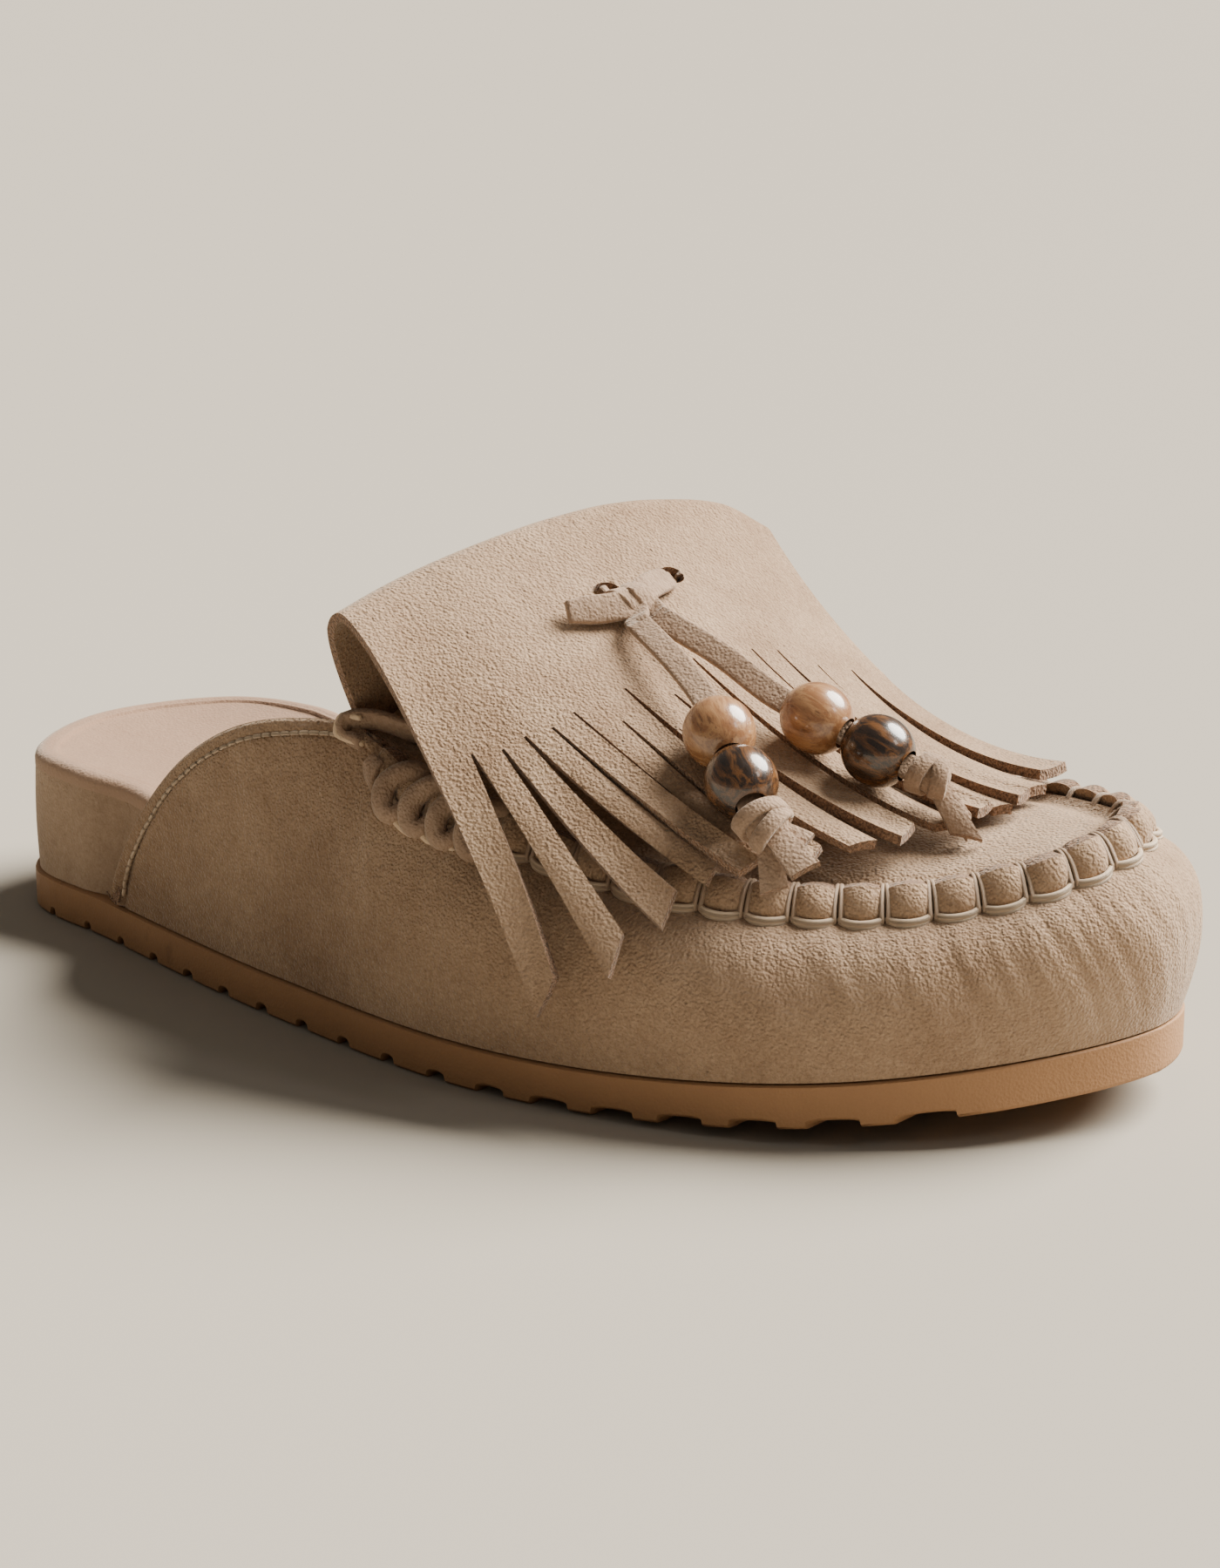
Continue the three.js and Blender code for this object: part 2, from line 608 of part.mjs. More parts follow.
// An oval lump turned so that its height stands off the flap.
function ovalKnot(centre, size, normal, along) {
  const across = normal.clone().cross(along).normalize();
  const turn = new THREE.Matrix4().makeBasis(along, across, normal);
  return new THREE.SphereGeometry(0.5, 12, 8)
    .scale(size.length, size.width, size.height)
    .applyMatrix4(turn)
    .translate(...centre);
}

// The lace comes up out of both holes, and crosses behind the flap between them.
function laceBridge() {
  const depth = KILTIE_THICKNESS + LACE_THICKNESS / 2 + CLEARANCE;
  const front = LACE_THICKNESS / 2 + CLEARANCE;
  const at = (hole, height) => hole.p.clone().addScaledVector(hole.normal, height);
  const between = (share, height) => at(holeA, height).lerp(at(holeB, height), share);
  const points = [
    at(holeA, front), at(holeA, -depth * 0.55), between(0.12, -depth), between(0.5, -depth),
    between(0.88, -depth), at(holeB, -depth * 0.55), at(holeB, front),
  ];
  return lace(new LaceCurve(points, DOWN_FLAP), LACE_WIDTH * 0.6, LACE_THICKNESS, 18);
}

// Where each tassel lies: its two beads' middles, and its end knot.
const TASSELS = {
  right: { start: 2.5, tan: [63.5, -2, 63.8], dark: [74.4, -0.5, 60.1], knot: [91, 3.5, 55] },
  left: { start: -2.5, tan: [56.5, -20.6, 63.8], dark: [65, -26, 58.8], knot: [80, -31, 50] },
};
const END_KNOT = { length: 9, width: 8, height: 5 };

function tassel({ start, tan, dark, knot }) {
  const tanAt = grow(...tan);
  const darkAt = grow(...dark);
  const axis = darkAt.clone().sub(tanAt).normalize();
  darkAt.copy(tanAt).addScaledVector(axis, BEAD_DIAMETER + CLEARANCE);
  const across = axis.clone().cross(UP).normalize().negate();
  const half = BEAD_DIAMETER / 2;
  const alongAxis = (middle, distance) => middle.clone().addScaledVector(axis, distance);
  const exit = alongAxis(darkAt, half + 1.2);
  const knotAway = grow(...knot).sub(exit).normalize();
  const knotAt = exit.clone().addScaledVector(knotAway, END_KNOT.length / 2 + 1);
  const from = knotCentre.clone()
    .addScaledVector(DOWN_FLAP, KNOT.length / 2 + CLEARANCE)
    .addScaledVector(FOLD_DIRECTION, start);
  const points = [
    from, from.clone().lerp(alongAxis(tanAt, -half - 3), 0.55).addScaledVector(UP, 0.8),
    alongAxis(tanAt, -half - 3), alongAxis(tanAt, 0), alongAxis(darkAt, 0), exit,
    knotAt.clone().addScaledVector(knotAway, -END_KNOT.length / 2 - CLEARANCE),
  ];
  return { tanAt, darkAt, axis, across, knotAt, knotAway, curve: new LaceCurve(points, across) };
}

// A round bead with a bore for the lace: a closed profile turned about the lace.
function bead(centre, axis) {
  const radius = BEAD_DIAMETER / 2;
  const bore = BEAD_BORE / 2;
  const reach = Math.acos(bore / radius);
  const profile = [];
  for (let n = 0; n <= 8; n++) {
    const angle = lerp(-reach, reach, n / 8);
    profile.push(new THREE.Vector2(radius * Math.cos(angle), radius * Math.sin(angle)));
  }
  profile.push(profile[0].clone());
  const turn = new THREE.Quaternion().setFromUnitVectors(new THREE.Vector3(0, 1, 0), axis);
  return new THREE.LatheGeometry(profile, 16).applyQuaternion(turn).translate(...centre);
}

// The whip lace winds in open coils beside the throat corner, on the outside of the upper.
const WHIP = { coils: 4, keyStep: 0.065, start: 0.03, height: 2.1, depth: 1.7, level: 0.88, standOff: 0.9 };

function sideLace(side) {
  const sign = side === 'outer' ? 1 : -1;
  const points = [];
  const perCoil = 12;
  for (let n = 0; n <= WHIP.coils * perCoil; n++) {
    const turn = n / perCoil;
    const angle = 2 * Math.PI * turn;
    const key = THROAT_KEY[side] + sign * (WHIP.start + WHIP.keyStep * turn);
    const away = WHIP.depth * (1 - Math.cos(angle)) + WHIP_DIAMETER / 2 + WHIP.standOff;
    points.push(upperFace(key, WHIP.level)
      .addScaledVector(outwardAt(key), away)
      .addScaledVector(UP, WHIP.height * Math.sin(angle)));
  }
  return lace(new THREE.CatmullRomCurve3(points, false, 'centripetal'), WHIP_DIAMETER, WHIP_DIAMETER, 64);
}

// ---------- Assembly ----------

const SUEDE = { color: 0xa88f78, roughness: 0.95, metalness: 0 };
const SUEDE_DARK = { color: 0x8c735e, roughness: 0.95, metalness: 0 };
const FOOTBED_SUEDE = { color: 0xc9a990, roughness: 0.95, metalness: 0 };
const FOAM = { color: 0xb27f52, roughness: 0.8, metalness: 0 };
const CORK = { color: 0xb98a5c, roughness: 0.9, metalness: 0 };
const JUTE = { color: 0xc2a77c, roughness: 1, metalness: 0 };
const THREAD = { color: 0xe6d9c3, roughness: 0.7, metalness: 0 };
const TAN_WOOD = { color: 0xa8642f, roughness: 0.3, metalness: 0 };
const DARK_WOOD = { color: 0x5d3320, roughness: 0.3, metalness: 0 };

const shoe = new THREE.Group();

function add(name, geometry, look) {
  const mesh = new THREE.Mesh(welded(geometry), new THREE.MeshStandardMaterial(look));
  mesh.name = name;
  shoe.add(mesh);
}

add('outsole', outsole(), FOAM);
add('lower_jute_layer', soleLayer(coreOutline, (x) => outsoleTop(x) + CLEARANCE, lowerJuteTop, 24, 2), JUTE);
add('cork_core', soleLayer(
  coreOutline,
  (x) => lowerJuteTop(x) + CLEARANCE,
  (x, across) => upperJuteBottom(x, across) - CLEARANCE,
), CORK);
add('upper_jute_layer', soleLayer(
  coreOutline,
  upperJuteBottom,
  (x, across) => liningBottom(x, across) - CLEARANCE,
), JUTE);
add('footbed_lining', soleLayer(liningOutline, liningBottom, liningTop), FOOTBED_SUEDE);
add('footbed_wrap', footbedWrap(), SUEDE_DARK);

add('vamp', vamp(), SUEDE);
add('apron', apron(), SUEDE);
add('apron_thread', apronThread(), THREAD);
add('collar_thread_right', collarThread(UPPER_ENDS[0] + 0.12, THROAT_KEY.outer - 0.06), THREAD);
add('collar_thread_left', collarThread(THROAT_KEY.inner + 0.06, UPPER_ENDS[1] - 0.12), THREAD);
add('side_lace_right', sideLace('outer'), SUEDE);
add('side_lace_left', sideLace('inner'), SUEDE);

add('kiltie_tongue', kiltieTongue(), SUEDE);
add('kiltie_flap', kiltieFlap(), SUEDE);
add('lace_bridge', laceBridge(), SUEDE);
add('lace_knot', ovalKnot(knotCentre, KNOT, holeA.normal, DOWN_FLAP), SUEDE);

for (const [side, plan] of Object.entries(TASSELS)) {
  const { tanAt, darkAt, axis, across, knotAt, knotAway, curve } = tassel(plan);
  const knotNormal = knotAway.clone().cross(across).normalize();
  add(`lace_tail_${side}`, lace(curve, LACE_WIDTH, LACE_THICKNESS, 20), SUEDE);
  add(`bead_tan_${side}`, bead(tanAt, axis), TAN_WOOD);
  add(`bead_dark_${side}`, bead(darkAt, axis), DARK_WOOD);
  add(`end_knot_${side}`, ovalKnot(knotAt, END_KNOT, knotNormal, knotAway), SUEDE);
}

export default shoe;
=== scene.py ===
"""A suede moccasin mule: cork footbed, foam outsole, gathered apron toe and a fringed kiltie.

Lengths are in metres. +X points to the toe, +Y to the inner side of the foot, +Z up.
"""

import json
import math

import bmesh
import bpy
import numpy as np
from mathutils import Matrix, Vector
from mathutils.kdtree import KDTree


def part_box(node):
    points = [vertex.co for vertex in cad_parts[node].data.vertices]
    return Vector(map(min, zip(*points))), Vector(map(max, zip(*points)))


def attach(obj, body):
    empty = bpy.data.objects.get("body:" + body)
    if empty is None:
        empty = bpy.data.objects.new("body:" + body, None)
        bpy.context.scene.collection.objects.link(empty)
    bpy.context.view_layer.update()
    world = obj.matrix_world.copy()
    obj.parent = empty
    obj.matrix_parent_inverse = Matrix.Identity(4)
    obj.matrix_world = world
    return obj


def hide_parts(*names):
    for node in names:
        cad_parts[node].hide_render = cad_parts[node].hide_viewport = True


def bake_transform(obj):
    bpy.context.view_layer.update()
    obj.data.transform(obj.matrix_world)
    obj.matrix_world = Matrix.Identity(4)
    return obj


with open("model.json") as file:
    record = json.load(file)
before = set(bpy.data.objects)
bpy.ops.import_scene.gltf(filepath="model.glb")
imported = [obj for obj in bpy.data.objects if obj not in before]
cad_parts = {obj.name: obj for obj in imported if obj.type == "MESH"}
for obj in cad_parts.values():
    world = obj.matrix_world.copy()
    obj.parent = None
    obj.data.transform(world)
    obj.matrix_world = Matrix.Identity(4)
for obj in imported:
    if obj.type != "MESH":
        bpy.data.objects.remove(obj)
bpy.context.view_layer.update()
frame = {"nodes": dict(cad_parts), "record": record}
MM = 0.001


# ---------------------------------------------------------------- vectors and curves

def vec(*p):
    return np.array(p, float)


def unit(a):
    length = np.linalg.norm(a, axis=-1, keepdims=True)
    return a / np.maximum(length, 1e-9)


def mix(a, b, t):
    return a + (b - a) * t


def ease(x, low, high):
    t = np.clip((x - low) / (high - low), 0, 1)
    return t * t * (3 - 2 * t)


def centripetal(points, t, closed=False):
    """A point on the centripetal Catmull-Rom curve, with t from 0 to 1."""
    points = np.asarray(points, float)
    n = len(points)
    place = t * (n if closed else n - 1)
    k = int(math.floor(place))
    if closed:
        w = place - k
        p = [points[(k + d) % n] for d in (-1, 0, 1, 2)]
    else:
        k = min(max(k, 0), n - 2)
        w = place - k
        ends = [2 * points[0] - points[1], 2 * points[-1] - points[-2]]
        padded = np.vstack([ends[0], points, ends[1]])
        p = [padded[k + d] for d in range(4)]
    gaps = [max(np.linalg.norm(p[d + 1] - p[d]), 1e-9) ** 0.5 for d in range(3)]
    t1 = ((p[1] - p[0]) / gaps[0] - (p[2] - p[0]) / (gaps[0] + gaps[1]) + (p[2] - p[1]) / gaps[1]) * gaps[1]
    t2 = ((p[2] - p[1]) / gaps[1] - (p[3] - p[1]) / (gaps[1] + gaps[2]) + (p[3] - p[2]) / gaps[2]) * gaps[1]
    return (
        (2 * w ** 3 - 3 * w ** 2 + 1) * p[1] + (w ** 3 - 2 * w ** 2 + w) * t1
        + (3 * w ** 2 - 2 * w ** 3) * p[2] + (w ** 3 - w ** 2) * t2
    )


def keyed(keys):
    """A smooth curve through rows of [at, x, y, z]."""
    keys = np.asarray(keys, float)
    at, value = keys[:, 0], keys[:, 1:]
    low = np.maximum(np.arange(len(at)) - 1, 0)
    high = np.minimum(np.arange(len(at)) + 1, len(at) - 1)
    slope = (value[high] - value[low]) / (at[high] - at[low])[:, None]

    def curve(k):
        n = int(np.clip(np.searchsorted(at, k, side="left") - 1, 0, len(at) - 2))
        span = at[n + 1] - at[n]
        t = min(max((k - at[n]) / span, 0), 1)
        return (
            (2 * t ** 3 - 3 * t ** 2 + 1) * value[n] + (t ** 3 - 2 * t ** 2 + t) * span * slope[n]
            + (3 * t ** 2 - 2 * t ** 3) * value[n + 1] + (t ** 3 - t ** 2) * span * slope[n + 1]
        )
    return curve


def bezier(a, b, c, d, t):
    s = 1 - t
    return s ** 3 * a + 3 * s * s * t * b + 3 * s * t * t * c + t ** 3 * d


def lengths_along(path):
    """The distance from a path's start to each of its points."""
    return np.concatenate([[0], np.cumsum(np.linalg.norm(np.diff(path, axis=0), axis=1))])


def nearest_among(points):
    """A search tree over points, for finding the one nearest a place."""
    tree = KDTree(len(points))
    for n, p in enumerate(points):
        tree.insert(p, n)
    tree.balance()
    return tree


def wave(x, seed=0):
    """A smooth wandering number between about -1 and 1."""
    a, b, c = 1.7 * seed + 0.3, 2.9 * seed + 1.1, 4.3 * seed + 2.3
    return (math.sin(x + a) + 0.6 * math.sin(2.17 * x + b) + 0.4 * math.sin(4.61 * x + c)) / 2


# ---------------------------------------------------------------- camera, floor and light

AZIMUTH, ELEVATION = 40.1, 16.0
CAMERA_DISTANCE = 0.6921
CAMERA_TARGET = (0.0092, 0.0064, 0.040)
LENS = 85


def camera_axes():
    """Unit vectors to the right of the view, up it, and back to the camera."""
    a, e = math.radians(AZIMUTH), math.radians(ELEVATION)
    back = Vector((math.sin(a) * math.cos(e), -math.cos(a) * math.cos(e), math.sin(e)))
    right = Vector((math.cos(a), math.sin(a), 0))
    return right, back.cross(right), back


def make_camera():
    back = camera_axes()[2]
    data = bpy.data.cameras.new("camera")
    data.lens = LENS
    data.sensor_width = 36
    data.clip_end = 50
    camera = bpy.data.objects.new("camera", data)
    camera.location = Vector(CAMERA_TARGET) + back * CAMERA_DISTANCE
    camera.rotation_euler = back.to_track_quat("Z", "Y").to_euler()
    bpy.context.collection.objects.link(camera)
    bpy.context.scene.camera = camera


def aim(light, toward, distance):
    """Puts a light off the shoe in the direction `toward`, shining back at it."""
    lamp = bpy.data.objects.new(light.name, light)
    direction = Vector(toward).normalized()
    lamp.location = Vector(CAMERA_TARGET) + direction * distance
    lamp.rotation_euler = direction.to_track_quat("Z", "Y").to_euler()
    bpy.context.collection.objects.link(lamp)


def light_stage():
    """Broad light from the right, a window for the beads to reflect, and a weak warm room."""
    right, up, back = camera_axes()
    broad = bpy.data.lights.new("broad_light", "SUN")
    broad.energy = 15.5
    broad.angle = math.radians(42)
    broad.color = (1.0, 0.95, 0.87)
    aim(broad, right * 0.73 + up * 0.82 - back * 0.10, 2.0)
    window = bpy.data.lights.new("window_light", "AREA")
    window.shape = "RECTANGLE"
    window.size, window.size_y = 0.24, 0.34
    window.energy = 2.0
    window.color = (1.0, 0.98, 0.95)
    aim(window, right * 0.72 + up * 0.44 + back * 0.54, 1.6)
    world = bpy.data.worlds.new("room")
    world.use_nodes = True
    background = world.node_tree.nodes["Background"].inputs
    background["Color"].default_value = (1.0, 0.93, 0.84, 1)
    background["Strength"].default_value = 0.20
    bpy.context.scene.world = world


# ---------------------------------------------------------------- materials

class Value:
    """A node's output, on which Python's operators add Math nodes."""

    def __init__(self, maker, socket):
        self.maker = maker
        self.socket = socket

    def _math(self, operation, *others):
        return self.maker.node("ShaderNodeMath", {"operation": operation}, {
            n: other for n, other in enumerate((self, *others))
        })

    def __add__(self, other):
        return self._math("ADD", other)

    def __radd__(self, other):
        return self._math("ADD", other)

    def __sub__(self, other):
        return self._math("SUBTRACT", other)

    def __rsub__(self, other):
        return self.maker.node("ShaderNodeMath", {"operation": "SUBTRACT"}, {0: other, 1: self})

    def __mul__(self, other):
        return self._math("MULTIPLY", other)

    def __rmul__(self, other):
        return self._math("MULTIPLY", other)

    def clamp(self):
        return self.maker.node("ShaderNodeClamp", {}, {"Value": self})

    def between(self, low, high, to_low=0.0, to_high=1.0):
        """The value rescaled smoothly, so that low gives to_low and high gives to_high."""
        return self.maker.node("ShaderNodeMapRange", {"interpolation_type": "SMOOTHSTEP"}, {
            "Value": self, "From Min": low, "From Max": high, "To Min": to_low, "To Max": to_high,
        })


class Material:
    """A node material: node() adds any node, and feed() links values to the shader at the end."""

    def __init__(self, name, **constants):
        self.data = bpy.data.materials.new(name)
        self.data.use_nodes = True
        self.tree = self.data.node_tree
        self.shader = self.tree.nodes["Principled BSDF"]
        for socket, value in constants.items():
            self.shader.inputs[socket.replace("_", " ")].default_value = value

    def node(self, kind, settings=None, inputs=None, output=0):
        node = self.tree.nodes.new(kind)
        for key, value in (settings or {}).items():
            setattr(node, key, value)
        for key, value in (inputs or {}).items():
            if isinstance(value, Value):
                self.tree.links.new(value.socket, node.inputs[key])
            else:
                node.inputs[key].default_value = value
        return Value(self, node.outputs[output])

    def feed(self, **sockets):
        for name, value in sockets.items():
            self.tree.links.new(value.socket, self.shader.inputs[name.replace("_", " ")])

    def place(self):
        return self.node("ShaderNodeTexCoord", output="Object")

    def noise(self, scale, detail=3, roughness=0.5, at=None, **more):
        inputs = {"Scale": scale, "Detail": detail, "Roughness": roughness, **more}
        inputs["Vector"] = at if at is not None else self.place()
        return self.node("ShaderNodeTexNoise", {}, inputs, "Fac")

    def cells(self, scale, feature="F1", at=None, randomness=1.0):
        inputs = {"Scale": scale, "Randomness": randomness}
        inputs["Vector"] = at if at is not None else self.place()
        return self.node("ShaderNodeTexVoronoi", {"feature": feature}, inputs, "Distance")

    def attribute(self, name):
        return self.node("ShaderNodeAttribute", {"attribute_name": name}, output="Fac")

    def wave(self, direction, scale, distortion, at):
        inputs = {"Scale": scale, "Distortion": distortion, "Vector": at}
        return self.node("ShaderNodeTexWave", {"bands_direction": direction}, inputs, "Fac")

    def blend(self, factor, first, second):
        """The colour that goes from first to second as factor goes from 0 to 1."""
        node = self.tree.nodes.new("ShaderNodeMix")
        node.data_type = "RGBA"
        sockets = (node.inputs[0], node.inputs[6], node.inputs[7])
        for socket, value in zip(sockets, (factor, first, second)):
            if isinstance(value, Value):
                self.tree.links.new(value.socket, socket)
            else:
                socket.default_value = value if isinstance(value, float) else (*value, 1)
        return Value(self, node.outputs[2])

    def bump(self, height, distance):
        inputs = {"Height": height, "Distance": distance, "Strength": 1.0}
        return self.node("ShaderNodeBump", {}, inputs)


def scaled(colour, by):
    return tuple(part * by for part in colour)


RAW_SUEDE = (0.19, 0.118, 0.076)


def suede(name, light, dark, grain=1.0, faded=(0.4, 0.28, 0.19)):
    """Napped suede: mottled colour, pebbled grain whose creases and pits are darkened, partly with painted
    shade, speckled nap, darker raw edges, and near-black painted shade from the dark tint in holes and in the
    gaps between puckers.
    """
    m = Material(
        name, Sheen_Weight=0.3, Sheen_Roughness=0.4, Sheen_Tint=(1, 0.93, 0.84, 1), Specular_IOR_Level=0.1,
    )
    cloud = m.noise(20, 4, 0.6)
    patch = m.noise(70, 4, 0.62, Distortion=0.6)
    nap = m.noise(800, 3, 0.7)
    speck = m.noise(2600, 2, 0.6)
    pebble = m.cells(1900, "SMOOTH_F1")
    crease = m.noise(2100, 3, 0.6, Distortion=0.5)
    pits = m.cells(480).between(0.03, 0.22, 1.0, 0.0) * m.noise(240, 2, 0.5).between(0.52, 0.68)
    shade = cloud - 0.5 + (patch - 0.5) * 0.8 + (nap - 0.5) * 0.8 + (speck - 0.5) * 0.5 + 0.52
    colour = m.blend(shade.clamp(), dark, light)
    # Darker in the grain's creases and pits, the low places of its bump: partly the grain's own tone and
    # partly painted shade.
    low = (crease.between(0.36, 0.52, 1.0, 0.0) * (0.22 * grain) + pits * 0.4 * grain).clamp()
    colour = m.blend(low, colour, scaled(dark, 0.45))
    colour = m.blend(m.attribute("fade"), colour, faded)
    fibre = m.noise(2200, 3, 0.7)
    raw_colour = m.blend(fibre.between(0.3, 0.7), scaled(RAW_SUEDE, 0.45), scaled(RAW_SUEDE, 1.9))
    colour = m.blend(m.attribute("raw"), colour, raw_colour)
    rim = m.attribute("rim")
    groove = rim.between(4.3, 4.8) * (1 - rim.between(5.0, 5.45))
    lip = rim.between(4.75, 5.35)
    colour = m.blend((rim.between(7.2, 7.95) * 0.8).clamp(), colour, light)
    # Painted shade: the dark tint turns the suede near-black in the gaps between puckers and on the plugs
    # that stand for holes.
    colour = m.blend(m.attribute("dark"), colour, (0.015, 0.009, 0.006))
    grainy = pebble * -1.6 + crease * 0.8 + nap * 0.12 + speck * 0.2 - pits
    height = grainy * grain + nap * 0.08 + speck * 0.12 + patch * 0.8 + lip * 0.5 - groove * 0.7
    m.feed(Base_Color=colour, Roughness=0.86 + (nap - 0.5) * 0.25, Normal=m.bump(height, 0.00025))
    return m.data


def foam(name):
    """Moulded foam rubber: an even caramel with a fine grain and scattered darker scuffs."""
    m = Material(name, Specular_IOR_Level=0.35)
    cloud = m.noise(30, 4, 0.6)
    grain = m.cells(1700)
    fine = m.noise(2500, 3, 0.6)
    shade = (cloud - 0.5) * 0.8 + (fine - 0.5) * 0.35 + 0.5
    colour = m.blend(shade.clamp(), (0.28, 0.145, 0.065), (0.43, 0.235, 0.112))
    scuff = m.noise(140, 5, 0.7).between(0.62, 0.75) * 0.35
    colour = m.blend(scuff, colour, (0.14, 0.07, 0.032))
    bump = m.bump(grain * 0.6 + fine * 0.5, 0.00012)
    m.feed(Base_Color=colour, Roughness=0.62 + (fine - 0.5) * 0.3, Normal=bump)
    return m.data


def cork(name):
    """Pressed cork: crumbs, each of its own brown."""
    m = Material(name, Specular_IOR_Level=0.25, Roughness=0.9)
    crumb = m.node("ShaderNodeTexVoronoi", {}, {"Scale": 420.0, "Vector": m.place()}, "Color")
    tone = m.node("ShaderNodeSeparateColor", {}, {"Color": crumb})
    colour = m.blend(tone, (0.20, 0.10, 0.045), (0.50, 0.30, 0.15))
    m.feed(Base_Color=colour, Normal=m.bump(m.cells(420), 0.0003))
    return m.data


def jute(name):
    """Coarse woven jute."""
    m = Material(name, Specular_IOR_Level=0.2, Roughness=0.95)
    warp, weft = [m.wave(direction, 300.0, 1.0, m.place()) for direction in ("X", "Y")]
    colour = m.blend((warp * weft).clamp(), (0.25, 0.17, 0.09), (0.56, 0.43, 0.26))
    m.feed(Base_Color=colour, Normal=m.bump(warp + weft, 0.0004))
    return m.data


def waxed_thread(name, colour, dark):
    """Twisted thread: the strands wind along the piece's own map."""
    m = Material(name, Sheen_Weight=0.15, Specular_IOR_Level=0.4, Roughness=0.5)
    twist = m.wave("DIAGONAL", 2.2, 0.4, m.node("ShaderNodeTexCoord", output="UV"))
    dirt = m.noise(300, 3, 0.6)
    tone = m.blend((twist * 0.5 + (dirt - 0.5) * 0.8 + 0.32).clamp(), dark, colour)
    tone = m.blend(m.attribute("fade"), tone, (0.50, 0.345, 0.23))
    tone = m.blend(m.attribute("dark"), tone, (0.012, 0.008, 0.005))
    m.feed(Base_Color=tone, Normal=m.bump(twist, 0.00012))
    return m.data


def polished_wood(name, deep, streak, amount, axis):
    """Turned wood whose grain runs along the bead's bore, under a clear polish."""
    m = Material(name, Coat_Weight=0.6, Coat_Roughness=0.05, Specular_IOR_Level=0.5)
    turn = Vector(axis).to_track_quat("Z", "Y").inverted().to_euler()
    local = m.node("ShaderNodeMapping", {}, {"Vector": m.place(), "Rotation": tuple(turn)})
    local = m.node("ShaderNodeMapping", {}, {"Vector": local, "Scale": (1, 1, 0.16)})
    ring = m.noise(420, 4, 0.62, local, Distortion=1.4)
    pore = m.noise(1500, 3, 0.7, local)
    cloud = m.noise(130, 3, 0.6)
    share = (ring.between(0.42, 0.62) * amount + (cloud - 0.5) * 0.9 * amount).clamp()
    colour = m.blend(share, deep, streak)
    colour = m.blend((pore.between(0.56, 0.68) * 0.55).clamp(), colour, scaled(deep, 0.3))
    bump = m.bump(pore * 0.5 + ring * 0.3, 0.00008)
    m.feed(Base_Color=colour, Roughness=0.28 + (pore - 0.5) * 0.3, Normal=bump)
    return m.data


def floor_paint(name):
    """A pale matt floor, with barely seen clouds of tone."""
    m = Material(name, Specular_IOR_Level=0.15, Roughness=0.85)
    tone = m.blend((m.noise(3, 3, 0.5) * 0.5 + 0.25).clamp(), (0.375, 0.34, 0.285), (0.39, 0.355, 0.30))
    m.feed(Base_Color=tone)
    return m.data


# ---------------------------------------------------------------- mesh making

def make_piece(name, builder, material, nodes):
    """Makes a piece of a builder's mesh, and hides the frame's parts that it replaces."""
    mesh = builder.mesh(name)
    mesh.materials.append(material)
    piece = bpy.data.objects.new(name, mesh)
    bpy.context.collection.objects.link(piece)
    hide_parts(*nodes)
    return piece


def riding_piece(name, builder, material, body, nodes):
    """Makes a piece, and says what it rides on."""
    piece = make_piece(name, builder, material, nodes)
    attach(piece, body)
    return piece


class Builder:
    """Gathers one piece's vertices, in millimetres, with their map and tints, and its faces."""

    TINTS = ("raw", "dark", "rim", "fade")

    def __init__(self):
        self.points = []
        self.faces = []
        self.maps = []
        self.tints = {name: [] for name in self.TINTS}

    def add(self, points, faces, maps=None, **tints):
        start = len(self.points)
        self.points.extend(points)
        self.faces.extend([start + n for n in face] for face in faces)
        count = len(points)
        self.maps.extend(maps if maps is not None else [(0, 0)] * count)
        for name in self.TINTS:
            self.tints[name].extend(np.broadcast_to(tints.get(name, 0.0), count))

    def mesh(self, name):
        mesh = bpy.data.meshes.new(name)
        mesh.from_pydata((np.array(self.points) * MM).tolist(), [], self.faces)
        mesh.update()
        corners = np.empty(len(mesh.loops), int)
        mesh.loops.foreach_get("vertex_index", corners)
        layer = mesh.uv_layers.new(name="map")
        layer.data.foreach_set("uv", np.array(self.maps, float)[corners].ravel())
        for label, values in self.tints.items():
            tint = mesh.attributes.new(label, "FLOAT", "POINT")
            tint.data.foreach_set("value", np.array(values, float))
        mesh.polygons.foreach_set("use_smooth", [True] * len(mesh.polygons))
        mesh.validate()
        return mesh


